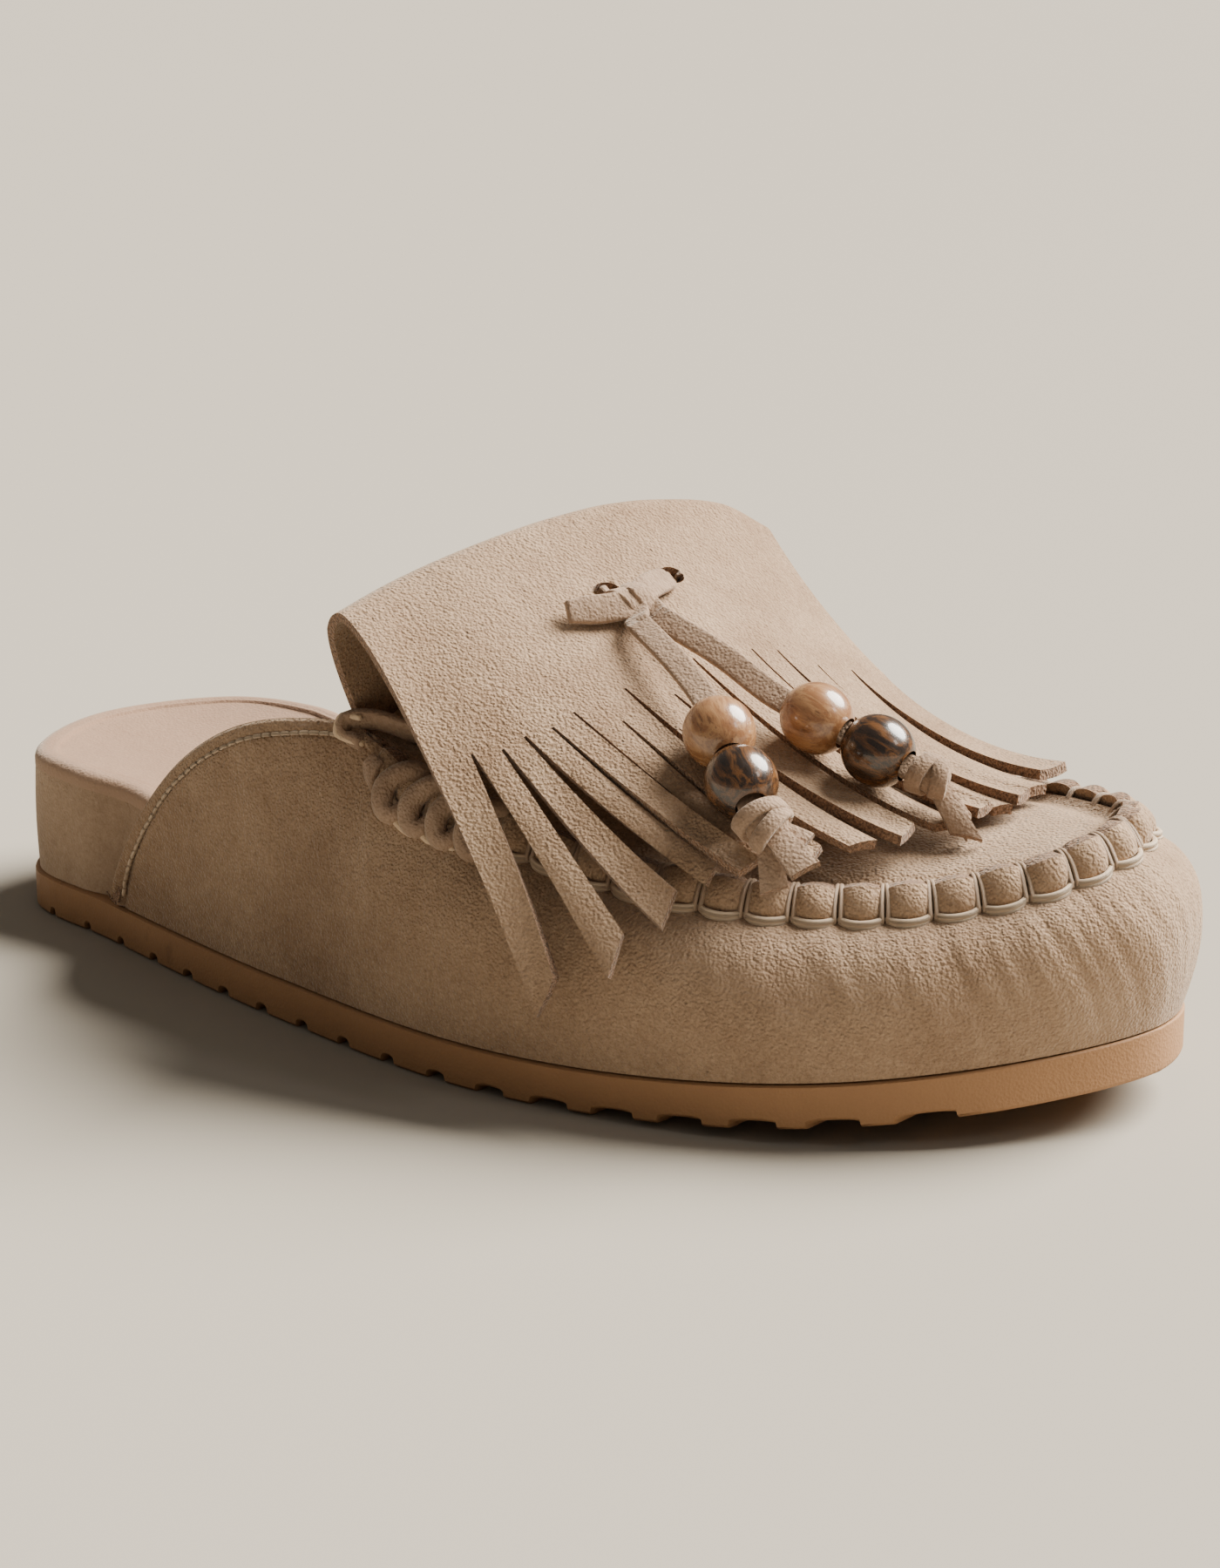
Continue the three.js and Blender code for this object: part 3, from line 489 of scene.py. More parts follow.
def sheet(builder, outer, inner, keep=None, looped=False, raw_walls=True, **tints):
    """Adds a closed sheet between two grids of points, with walls round it and round its holes."""
    columns, rows = outer.shape[:2]
    nu, nv = (columns if looped else columns - 1), rows - 1
    if keep is None:
        keep = np.ones((nu, nv), bool)
    count = columns * rows
    faces, walls = [], []

    def top(i, j):
        return (i % columns) * rows + j

    def low(i, j):
        return count + top(i, j)

    def kept(i, j):
        if looped:
            i %= nu
        return 0 <= i < nu and 0 <= j < nv and keep[i, j]

    for i, j in zip(*np.nonzero(keep)):
        a, b, c, d = (i, j), (i + 1, j), (i + 1, j + 1), (i, j + 1)
        faces.append([top(*a), top(*b), top(*c), top(*d)])
        faces.append([low(*a), low(*d), low(*c), low(*b)])
        beside = ((i, j - 1), (i + 1, j), (i, j + 1), (i - 1, j))
        for neighbour, start, end in zip(beside, (a, b, c, d), (b, c, d, a)):
            if not kept(*neighbour):
                walls.append((start, end))
    used = sorted({n for face in faces for n in face})
    renumber = {n: k for k, n in enumerate(used)}
    grid = np.concatenate([outer.reshape(-1, 3), inner.reshape(-1, 3)])
    u, v = np.meshgrid(np.arange(columns), np.arange(rows), indexing="ij")
    maps = np.tile(np.stack([u.ravel(), v.ravel()], 1), (2, 1))
    shades = {name: np.tile(values.ravel(), 2)[used] for name, values in tints.items()}
    builder.add(
        [grid[n] for n in used], [[renumber[n] for n in face] for face in faces],
        [tuple(maps[n]) for n in used], **shades,
    )
    # The walls have corners of their own, so that a cut edge keeps its tint and a crisp arris.
    wall_points, wall_faces = [], []
    for a, b in walls:
        k = len(wall_points)
        wall_points += [grid[low(*a)], grid[low(*b)], grid[top(*b)], grid[top(*a)]]
        wall_faces.append([k, k + 1, k + 2, k + 3])
    if wall_points:
        builder.add(wall_points, wall_faces, raw=1.0 if raw_walls else 0.0)


def grid_normals(grid, looped=False):
    """Unit normals of a grid of points, facing along columns x rows."""
    if looped:
        along = np.roll(grid, -1, 0) - np.roll(grid, 1, 0)
    else:
        along = np.gradient(grid, axis=0)
    return unit(np.cross(along, np.gradient(grid, axis=1)))


def tube(builder, path, radius, sides=8, flat=1.0, across=None, dark=0.0, taper=None, fade=0.0):
    """Adds a closed tube along points, round or flattened square to `across`."""
    path = np.asarray(path, float)
    count = len(path)
    tangent = unit(np.gradient(path, axis=0))
    if across is None:
        side = np.zeros_like(path)
        start = vec(0, 0, 1) if abs(tangent[0][2]) < 0.9 else vec(1, 0, 0)
        side[0] = unit(np.cross(tangent[0], start))
        for n in range(1, count):
            side[n] = unit(side[n - 1] - tangent[n] * side[n - 1].dot(tangent[n]))
    else:
        wide = np.broadcast_to(np.asarray(across, float), path.shape)
        side = unit(wide - tangent * (wide * tangent).sum(1, keepdims=True))
    lift = np.cross(tangent, side)
    size = np.full(count, 1.0) if taper is None else np.asarray(taper, float)
    points, maps, faces = [], [], []
    lengths = lengths_along(path)
    for n in range(count):
        for k in range(sides):
            angle = 2 * math.pi * (k + 0.5) / sides
            c, s = math.cos(angle), math.sin(angle)
            if flat < 1:
                c, s = math.copysign(abs(c) ** 0.25, c), math.copysign(abs(s) ** 0.4, s)
            points.append(path[n] + (side[n] * c + lift[n] * s * flat) * radius * size[n])
            maps.append((lengths[n], k / sides * 4))
    for n in range(count - 1):
        for k in range(sides):
            a, b = n * sides + k, n * sides + (k + 1) % sides
            faces.append([a, b, b + sides, a + sides])
    faces.append(list(range(sides))[::-1])
    faces.append([(count - 1) * sides + k for k in range(sides)])
    builder.add(points, faces, maps, dark=dark, fade=fade)


def lump(builder, centre, along, across, lift, seed=0, rough=0.07):
    """Adds a closed, slightly uneven oval, whose half sizes are the lengths of its three vectors."""
    rings, spokes = 9, 16
    points = [centre - lift]
    for n in range(1, rings):
        height = -math.cos(math.pi * n / rings)
        for k in range(spokes):
            angle = 2 * math.pi * k / spokes
            size = 1 + rough * wave(angle * 2 + n, seed)
            spoke = along * math.cos(angle) + across * math.sin(angle)
            points.append(centre + (spoke * math.sin(math.pi * n / rings) + lift * height) * size)
    points.append(centre + lift)
    last = len(points) - 1
    faces = []
    for k in range(spokes):
        k2 = (k + 1) % spokes
        faces.append([0, 1 + k2, 1 + k])
        faces.append([last, last - spokes + k, last - spokes + k2])
        for n in range(rings - 2):
            a, b = 1 + n * spokes + k, 1 + n * spokes + k2
            faces.append([a, b, b + spokes, a + spokes])
    if np.dot(np.cross(along, across), lift) < 0:
        faces = [face[::-1] for face in faces]
    builder.add(points, faces)


def smooth_path(points, count):
    """Evenly spaced points on a smooth curve through a few chosen ones."""
    dense = np.array([centripetal(points, t) for t in np.linspace(0, 1, 12 * len(points))])
    lengths = lengths_along(dense)
    wanted = np.linspace(0, lengths[-1], count)
    return np.stack([np.interp(wanted, lengths, dense[:, k]) for k in range(3)], 1)


# ---------------------------------------------------------------- the sole's outline and heights, in mm

def box_mm(node):
    low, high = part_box(node)
    return np.array(low) / MM, np.array(high) / MM


SOLE_LOW, SOLE_HIGH = box_mm("outsole")
SOLE_LENGTH = SOLE_HIGH[0] - SOLE_LOW[0]
OUTLINE = [
    (-126, 0, 0), (-113.4, -28.8, 0), (-84.6, -36, 0), (-25, -47.8, 0), (29.9, -51.9, 0), (88, -35.9, 0),
    (116, -10.6, 0), (126, 14, 0), (117, 34.1, 0), (92, 41.6, 0), (42.2, 46, 0), (-25, 38, 0), (-84.6, 36, 0),
    (-113.4, 28.8, 0),
]
OUTLINE_KEYS = len(OUTLINE)
OUTSOLE_THICKNESS = 8
TOE_SPRING = 8.8
HEEL_RIM_HEIGHT = 32.6
FORE_RIM_RISE = 9
CUP_DEPTH = 6
SPRING_START = SOLE_LENGTH * 0.1175
QUARTER_END = -SOLE_LENGTH * 0.325
OUTLINE_STEPS = 2800
OUTLINE_SHARES = [n / OUTLINE_STEPS for n in range(OUTLINE_STEPS + 1)]
OUTLINE_TABLE = np.array([centripetal(OUTLINE, share, closed=True) for share in OUTLINE_SHARES])
RING_SAMPLES = 300


def outline_at(key):
    place = (key / OUTLINE_KEYS) % 1 * OUTLINE_STEPS
    n = int(place)
    return mix(OUTLINE_TABLE[n], OUTLINE_TABLE[(n + 1) % OUTLINE_STEPS], place - n)


def outward_at(key):
    along = outline_at(key + 0.02) - outline_at(key - 0.02)
    return unit(vec(along[1], -along[0], 0))


def ground_height(x):
    t = max(0, (x - SPRING_START) / (SOLE_LENGTH / 2 - SPRING_START))
    return TOE_SPRING * t * t


def outsole_top(x):
    return ground_height(x) + OUTSOLE_THICKNESS


def rim_height(x):
    back = ease(x, -SOLE_LENGTH * 0.42, SOLE_LENGTH * 0.24)
    return mix(HEEL_RIM_HEIGHT, outsole_top(x) + FORE_RIM_RISE, back)


def wrap_inset(x):
    return mix(0.9, 3.8, ease(x, QUARTER_END - 12, QUARTER_END + 2))


def inset_ring(inset, samples):
    """The outline moved inwards by inset(x), as a ring of points from the heel and round."""
    ring = []
    for n in range(samples):
        key = n / samples * OUTLINE_KEYS
        p = outline_at(key)
        ring.append(p - outward_at(key) * inset(p[0]))
    return np.array(ring)


def ring_sides(ring):
    """Both sides of a ring as functions from x to y, and its two ends."""
    heel, toe = ring[:, 0].argmin(), ring[:, 0].argmax()
    count = len(ring)
    outer = ring[[(heel + n) % count for n in range((toe - heel) % count + 1)]]
    inner = ring[[(heel - n) % count for n in range((heel - toe) % count + 1)]]

    def outer_y(x):
        return np.interp(x, outer[:, 0], outer[:, 1])

    def inner_y(x):
        return np.interp(x, inner[:, 0], inner[:, 1])

    return outer_y, inner_y, ring[heel][0], ring[toe][0]


# ---------------------------------------------------------------- the upper's surfaces, in mm

THROAT = (3.24, 10.81)
UPPER_ENDS = (2.07, 11.93)
top_edge = keyed([
    [2.07, -80.5, -38.2, 10.2], [2.133, -76.7, -40, 17.3], [2.273, -68.3, -41.5, 29.9],
    [2.487, -55.6, -42, 43.4], [2.735, -40.8, -41.5, 52.5], [3.016, -24.1, -40, 56.6],
    [3.24, -12, -38.5, 56.5], [3.506, 2.8, -40, 51], [3.976, 28.6, -39, 46.5], [4.327, 48.9, -35, 43],
    [4.66, 66.7, -29, 41.3], [5, 79, -23.5, 41.3], [5.35, 90.9, -17.5, 42.2], [5.8, 101, -10, 44],
    [6.25, 109, -3, 46.5], [6.7, 114, 4.5, 49], [7, 116, 12, 51], [7.35, 114, 20, 51.5],
    [7.95, 108.8, 28, 50.5], [8.55, 97.9, 32, 49.8], [9.02, 87.7, 35, 48.5], [9.6, 62, 38, 47],
    [10.2, 28, 39, 48], [10.58, 3, 39, 52], [10.81, -12, 38, 57.5], [10.985, -24, 38, 57],
    [11.25, -40, 39, 53], [11.51, -55.6, 39, 44], [11.72, -68, 38.5, 30.5], [11.87, -76.7, 37.5, 18],
    [11.93, -80.5, 36.6, 10.2],
])
swell = keyed([
    [2, 0.6, 0.6, 0], [3, 1.4, 4, 0], [4, 2.5, 11, 0], [5, 3, 12, 0], [6, 3.2, 13, 0], [7, 3.4, 13.5, 0],
    [8, 3.2, 12.5, 0], [9, 3, 11.5, 0], [10, 2.5, 11, 0], [11, 1.4, 4, 0], [12, 0.6, 0.6, 0],
])
UPPER_THICKNESS = 2.2
PUCKER_HEIGHT = 5
PUCKER_LEAN = 3
RIDGE_HEIGHT = 3.0
UP = vec(0, 0, 1)


def seam_share(key):
    return ease(key, THROAT[0], THROAT[0] + 0.25) * (1 - ease(key, THROAT[1] - 0.25, THROAT[1]))


def seam_foot(key):
    share = seam_share(key)
    return top_edge(key) + outward_at(key) * PUCKER_LEAN * share - UP * PUCKER_HEIGHT * share


SEAM_KEYS = np.linspace(THROAT[0], THROAT[1], 700)
SEAM_POINTS = np.array([seam_foot(key) for key in SEAM_KEYS])
SEAM_LENGTHS = lengths_along(SEAM_POINTS)
PUCKER_COUNT = 38


def seam_place(key):
    """How many puckers lie behind this key; a whole number is a gap between two."""
    return np.interp(key, SEAM_KEYS, SEAM_LENGTHS) / SEAM_LENGTHS[-1] * PUCKER_COUNT


def key_of_place(place):
    return float(np.interp(place / PUCKER_COUNT * SEAM_LENGTHS[-1], SEAM_LENGTHS, SEAM_KEYS))


def wall_section(key):
    """Control points up the upper's outer face, from the outsole to the seam's foot or the collar."""
    out = outward_at(key)
    foot = seam_foot(key)
    base = outline_at(key) - out * 0.4
    base[2] = outsole_top(base[0]) + 0.3
    height = foot[2] - base[2]
    low, high, _ = swell(key)
    return base, base + out * low + UP * 0.4 * height, foot + out * high - UP * 0.12 * height, foot


def apron_edge(key, outward=0.0, drop=1.6):
    """The apron's edge, just inside the upper's top edge."""
    return top_edge(key) + outward_at(key) * (outward - UPPER_THICKNESS - 0.45) - UP * drop


crown = keyed([[0, 8.5, 0, 0], [0.3, 7, 0, 0], [0.55, 4.5, 0, 0], [0.8, 2.5, 0, 0], [1, 0, 0, 0]])


# ---------------------------------------------------------------- the kiltie's surfaces, in mm

tongue_foot = keyed([
    [-1, -15.5, -34.8, 54.5], [-0.5, -15, -18, 61.5], [0, -14.5, 0, 63.8], [0.5, -15, 18, 62],
    [1, -15.5, 33.8, 55.5],
])
fold_line = keyed([
    [-1, -8.5, -46.8, 80.1], [-0.72, -7.1, -34.6, 83.6], [-0.45, -4.1, -21.7, 87], [-0.12, -0.6, -6.7, 90],
    [0.1, 1.7, 2.9, 91.3], [0.3, 3.9, 12.6, 92], [0.55, 6.7, 24.5, 91.4], [0.82, 10, 38.7, 88.8],
    [1, 12.5, 49, 83],
])
flap_shoulder = keyed([
    [-1, 10, -50, 75], [-0.5, 13, -26, 82], [0, 17, -3, 85], [0.5, 20, 22, 83], [1, 22, 47, 75],
])
flap_hip = keyed([
    [-1, 29, -56, 50], [-0.5, 42, -31, 58], [0, 46, -6, 58], [0.5, 46, 20, 54], [1, 44, 45, 47],
])
flap_tips = keyed([
    [-1, 45, -58, 20], [-0.8, 57, -52, 28], [-0.6, 67, -38, 41], [-0.35, 77, -26, 46.5], [0, 83, -7, 49.5],
    [0.4, 88, 14, 51], [0.75, 88, 29, 51], [1, 85, 42, 50.5],
])
FOLD_DIRECTION = unit((fold_line(1) - fold_line(-1)) * vec(1, 1, 0))
FORWARD = vec(FOLD_DIRECTION[1], -FOLD_DIRECTION[0], 0)
FOLD_RADIUS = 4.5
KILTIE_THICKNESS = 2
STRIP_COUNT = 15
TONGUE_TUCK = 7


def flap_section(s):
    fold = fold_line(s)
    return fold, mix(flap_shoulder(s), fold, 0.35), flap_hip(s), flap_tips(s)


def flap_point(s, v):
    return bezier(*flap_section(s), v)


def tongue_point(s, v):
    """A point on the tongue; below v 0 it is tucked straight down into the shoe."""
    foot, fold = tongue_foot(s), fold_line(s)
    back = fold - FORWARD * 2 * FOLD_RADIUS - UP * FOLD_RADIUS * 0.4
    if v < 0:
        return foot + UP * v * TONGUE_TUCK
    return bezier(foot, mix(foot, back, 0.45), back, fold, v)


# ---------------------------------------------------------------- tassels: where their pieces lie

LACE_WIDTH = 4.6
LACE_FACE = vec(0.48, -0.62, 0.62)
LACE_THICKNESS = 1.3
BEAD_DIAMETER = 12.5
JOINTS = {joint["name"]: joint for joint in frame["record"]["behaviour"]["joints"]}


def joint_mm(name):
    return vec(*JOINTS[name]["pos_m"]) / MM


def tassel_plan(side):
    """Where one tassel's pieces lie, read from the frame's joints and boxes."""
    start = joint_mm(f"tassel_lift_{side}")
    tan, dark = joint_mm(f"tan_bead_spin_{side}"), joint_mm(f"dark_bead_spin_{side}")
    axis = unit(dark - tan)
    low, high = box_mm(f"end_knot_{side}")
    knot = (low + high) / 2
    leave = dark + axis * (BEAD_DIAMETER / 2 + 1.2)
    away = unit(knot - leave)
    across = unit(np.cross(LACE_FACE, axis))
    before = tan - axis * (BEAD_DIAMETER / 2 + 3)
    route = [start, mix(start, before, 0.55) + UP * 0.8, before, tan, dark, leave, knot - away * 4.5]
    return {
        "start": start, "tan": tan, "dark": dark, "axis": axis, "knot": knot,
        "away": away, "across": across, "route": route,
    }


PLANS = {side: tassel_plan(side) for side in ("right", "left")}


def lace_tail(side):
    """One flat lace from the knot on the flap, through both beads, to its end knot."""
    plan = PLANS[side]
    path = smooth_path(plan["route"], 34)
    builder = Builder()
    flatness = LACE_THICKNESS / LACE_WIDTH
    tube(builder, path, LACE_WIDTH / 2, sides=16, flat=flatness, across=plan["across"])
    node = f"lace_tail_{side}"
    piece = riding_piece(f"tassel_lace_{side}", builder, LACE_SUEDE, f"tassel_{side}", [node])
    return piece, path


# ---------------------------------------------------------------- making it

make_camera()
light_stage()

SUEDE = suede("napped_suede", (0.49, 0.345, 0.228), (0.23, 0.14, 0.083))
LACE_SUEDE = suede(
    "lace_suede", (0.46, 0.325, 0.23), (0.19, 0.12, 0.075), grain=0.6, faded=(0.66, 0.50, 0.34),
)
WRAP_SUEDE = suede("wrap_suede", (0.49, 0.355, 0.245), (0.25, 0.165, 0.105), grain=0.45)
FOOTBED_SUEDE = suede(
    "footbed_suede", (0.315, 0.20, 0.135), (0.215, 0.13, 0.085), grain=0.3, faded=(0.40, 0.27, 0.185),
)
FOAM = foam("caramel_foam")
CORK = cork("pressed_cork")
JUTE = jute("woven_jute")
SEAM_THREAD = waxed_thread("waxed_seam_thread", (1.0, 0.79, 0.56), (0.72, 0.52, 0.35))
STITCH_THREAD = waxed_thread("stitching_thread", (1.0, 0.78, 0.55), (0.70, 0.50, 0.33))

TAILS = {side: lace_tail(side) for side in PLANS}
BORE_RADIUS = 2.85
BEAD_STRETCH = 1.05
BEAD_SWELL = 0.1
RIM_SOFTENING = 0.3


def select_end_edges(piece, end, clear_of):
    """In edit mode, leaves selected the edges at height `end` or beyond, off the bore's axis."""
    bpy.ops.mesh.select_all(action="DESELECT")
    mesh = bmesh.from_edit_mesh(piece.data)
    for edge in mesh.edges:
        place = (edge.verts[0].co + edge.verts[1].co) / 2
        edge.select_set(abs(place.z) > end * 0.9999 and place.xy.length > clear_of)
    bmesh.update_edit_mesh(piece.data)


# Each wood: its deep and streak colours, and how strong the streaks are.
WOODS = {
    "tan": ((0.25, 0.115, 0.05), (0.44, 0.245, 0.115), 0.75),
    "dark": ((0.016, 0.009, 0.006), (0.24, 0.10, 0.03), 0.5),
}


def turned_bead(side, wood):
    """A turned bead: a ball cut flat at both ends, bored through, with softened rims."""
    plan = PLANS[side]
    radius = BEAD_DIAMETER / 2 + BEAD_SWELL
    flat = math.sqrt(radius ** 2 - BORE_RADIUS ** 2) * MM
    bpy.ops.object.select_all(action="DESELECT")
    bpy.ops.mesh.primitive_uv_sphere_add(segments=64, ring_count=40, radius=radius * MM, location=(0, 0, 0))
    bead = bpy.context.active_object
    bead.name = f"wood_{wood}_{side}"
    bpy.ops.object.mode_set(mode="EDIT")
    bpy.ops.mesh.select_mode(type="EDGE")
    for end in (-1, 1):
        bpy.ops.mesh.select_all(action="SELECT")
        bpy.ops.mesh.bisect(plane_co=(0, 0, end * flat), plane_no=(0, 0, end), clear_outer=True)
    select_end_edges(bead, flat, clear_of=0)
    bpy.ops.mesh.bridge_edge_loops()
    bpy.ops.mesh.select_all(action="SELECT")
    bpy.ops.transform.resize(value=(1, 1, BEAD_STRETCH))
    select_end_edges(bead, flat * BEAD_STRETCH, clear_of=BORE_RADIUS * MM * 0.9)
    bpy.ops.mesh.bevel(offset=RIM_SOFTENING * MM, segments=3, affect="EDGES")
    bpy.ops.mesh.select_all(action="SELECT")
    bpy.ops.mesh.normals_make_consistent(inside=False)
    bpy.ops.object.mode_set(mode="OBJECT")
    bpy.ops.object.shade_smooth()
    bead.rotation_euler = Vector(plan["axis"]).to_track_quat("Z", "Y").to_euler()
    bead.location = Vector(plan[wood]) * MM
    bpy.ops.object.transform_apply(location=True, rotation=True, scale=True)
    deep, streak, amount = WOODS[wood]
    bead.data.materials.append(polished_wood(f"{wood}_wood_{side}", deep, streak, amount, plan["axis"]))
    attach(bead, f"{wood}_{side}")
    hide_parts(f"bead_{wood}_{side}")
    return bead


BEADS = {side: [turned_bead(side, wood) for wood in WOODS] for side in PLANS}


def flat_band(builder, points, width, thickness, across, ends=(0.55, 1.0, 0.55), count=20):
    """A strap of lace along a few points, narrowed towards both ends."""
    start, middle, end = ends
    taper = np.interp(np.linspace(0, 1, count), [0, 0.25, 0.75, 1], [start, middle, middle, end])
    tube(builder, smooth_path(points, count), width / 2, 12, thickness / width, across, taper=taper)


def cut_tab(builder, start, heading, normal, length, width, bend, slant, thickness=1.5):
    """A short end of flat lace with a square or slanted cut."""
    across = unit(np.cross(normal, heading))
    columns, rows = 7, 12
    outer = np.zeros((columns, rows, 3))
    for i in range(columns):
        for j in range(rows):
            c = i / (columns - 1) * 2 - 1
            t = j / (rows - 1)
            reach = (length + slant * c) * t
            curl = bend * t * t + 0.3 * c * c
            outer[i, j] = start + heading * reach + across * c * width / 2 * (0.8 + 0.2 * t) - normal * curl
    inner = outer - normal * thickness
    if np.dot(np.cross(outer[1, 0] - outer[0, 0], outer[0, 1] - outer[0, 0]), normal) < 0:
        outer, inner = outer[::-1], inner[::-1]
    sheet(builder, outer, inner)


def end_knot(side, size, tabs):
    """The knot that holds the beads on: a lumpy wrap of lace with its cut ends fanned out."""
    plan = PLANS[side]
    away = plan["away"]
    across = unit(np.cross(LACE_FACE, away))
    normal = unit(np.cross(away, across))
    centre = plan["knot"] - away * 2.2
    builder = Builder()
    lump(builder, centre, away * size[0], across * size[1], normal * size[2], seed=4, rough=0.1)
    for shift, lean, grow_by in ((-1.3, 1.1, 1.08), (1.2, -1.0, 1.02)):
        ring = []
        for n in range(25):
            angle = 2 * math.pi * n / 24
            spoke = across * math.cos(angle) * size[1] + normal * math.sin(angle) * size[2]
            ring.append(centre + spoke * grow_by + away * (shift + lean * math.cos(angle + 0.5)))
        tube(builder, ring, 1.45, 10, 0.5, away)
    for turn, pitch, start, length, width, bend, slant in tabs:
        c, s = math.cos(math.radians(turn)), math.sin(math.radians(turn))
        heading = unit(away * c + across * s + normal * pitch)
        face = unit(normal - heading * normal.dot(heading))
        cut_tab(builder, centre + heading * start + face * 0.8, heading, face, length, width, bend, slant)
    name, node = f"knotted_end_{side}", f"end_knot_{side}"
    return riding_piece(name, builder, LACE_SUEDE, f"tassel_{side}", [node])


# Each end: turn and pitch off the lace's line, start, length, width, droop and slant of its cut.
END_KNOTS = {
    "left": end_knot("left", (3.3, 3.9, 3.0), [
        (-4, 0.10, 2.4, 9.0, 5.4, 0.5, 0.3), (-34, -0.16, 2.0, 9.5, 4.8, 0.9, -0.5),
        (24, -0.05, 2.0, 5.5, 4.0, 0.6, 0.4),
    ]),
    "right": end_knot("right", (3.4, 3.0, 2.6), [
        (-38, -0.10, 1.6, 10.5, 4.2, 1.2, 1.9), (-30, -0.22, 1.4, 9.5, 3.4, 1.2, -1.6),
    ]),
}

for side, (tail, path) in TAILS.items():
    tuple(path[0] * MM)
    float(lengths_along(path)[-1] * MM)
    (path * MM).tolist()


# ---------------------------------------------------------------- sole

GROOVE_PITCH = 12
GROOVE_DEPTH = 1.5
PLAIN_END = 16
SOLE_BEVEL = 0.4
SOLE_SHARES = [0, 0.006, 0.015, 0.03, 0.06, 0.12, 0.3, 0.5, 0.7, 0.88, 0.94, 0.97, 0.985, 0.994, 1]


def outsole_stations(heel_x, toe_x):
    """Lengthwise stations as (x, groove depth): grooves grow longer and squarer towards the toe."""
    steps = [PLAIN_END * (1 - math.cos(math.pi / 2 * n / 20)) for n in range(20)]
    stations = [(heel_x + step, 0) for step in steps]
    count = int((toe_x - heel_x - 2 * PLAIN_END) / GROOVE_PITCH)
    pitch = (toe_x - heel_x - 2 * PLAIN_END) / count
    for n in range(count):
        middle = heel_x + PLAIN_END + (n + 0.5) * pitch
        forward = float(ease(middle, 5, 50))
        half_width = 1.1 + 0.7 * float(ease(middle, -95, -50)) + 2.2 * forward
        stations.append((middle - pitch / 2 + 0.4, 0))
        for angle in np.linspace(math.pi, 0, 11):
            lift = max(math.sin(angle), 0) ** (0.8 - 0.4 * forward)
            stations.append((middle + half_width * math.cos(angle), GROOVE_DEPTH * lift))
    return stations + [(toe_x - step, 0) for step in reversed(steps)]


def outsole_piece():
    """The outsole: grooves run across its underside, and its arrises are softened."""
    outer_y, inner_y, heel_x, toe_x = ring_sides(inset_ring(lambda x: 0.0, 840))
    stations = outsole_stations(heel_x, toe_x)
    top = np.zeros((len(stations), len(SOLE_SHARES), 3))
    low = np.zeros_like(top)
    for i, (x, cut) in enumerate(stations):
        a, b = outer_y(x), inner_y(x)
        for j, share in enumerate(SOLE_SHARES):
            edge = min(share, 1 - share) * (b - a)
            round_off = SOLE_BEVEL * (1 - min(edge / 0.9, 1)) ** 2
            top[i, j] = (x, mix(a, b, share), outsole_top(x) - round_off)
            groove = cut * (1 - 0.3 * ease(edge, 4, 16))
            low[i, j] = (x, mix(a, b, share), ground_height(x) + round_off * 1.6 + groove)
    builder = Builder()
    sheet(builder, top, low, raw_walls=False)
    riding_piece("foam_outsole", builder, FOAM, "shoe", ["outsole"])


outsole_piece()


RIM_ROLL = 3.2
# The rolled rim, from outside in: share of the roll inwards, share of it in height, and how faded.
RIM_PROFILE = [
    (0.0, -1.0, 1.0), (0.0, -0.55, 0.85), (0.08, -0.3, 0.6), (0.3, -0.1, 0.35), (0.62, -0.01, 0.15),
    (1.0, 0.0, 0.0),
]
FOOTBED_SHEET = 1.6


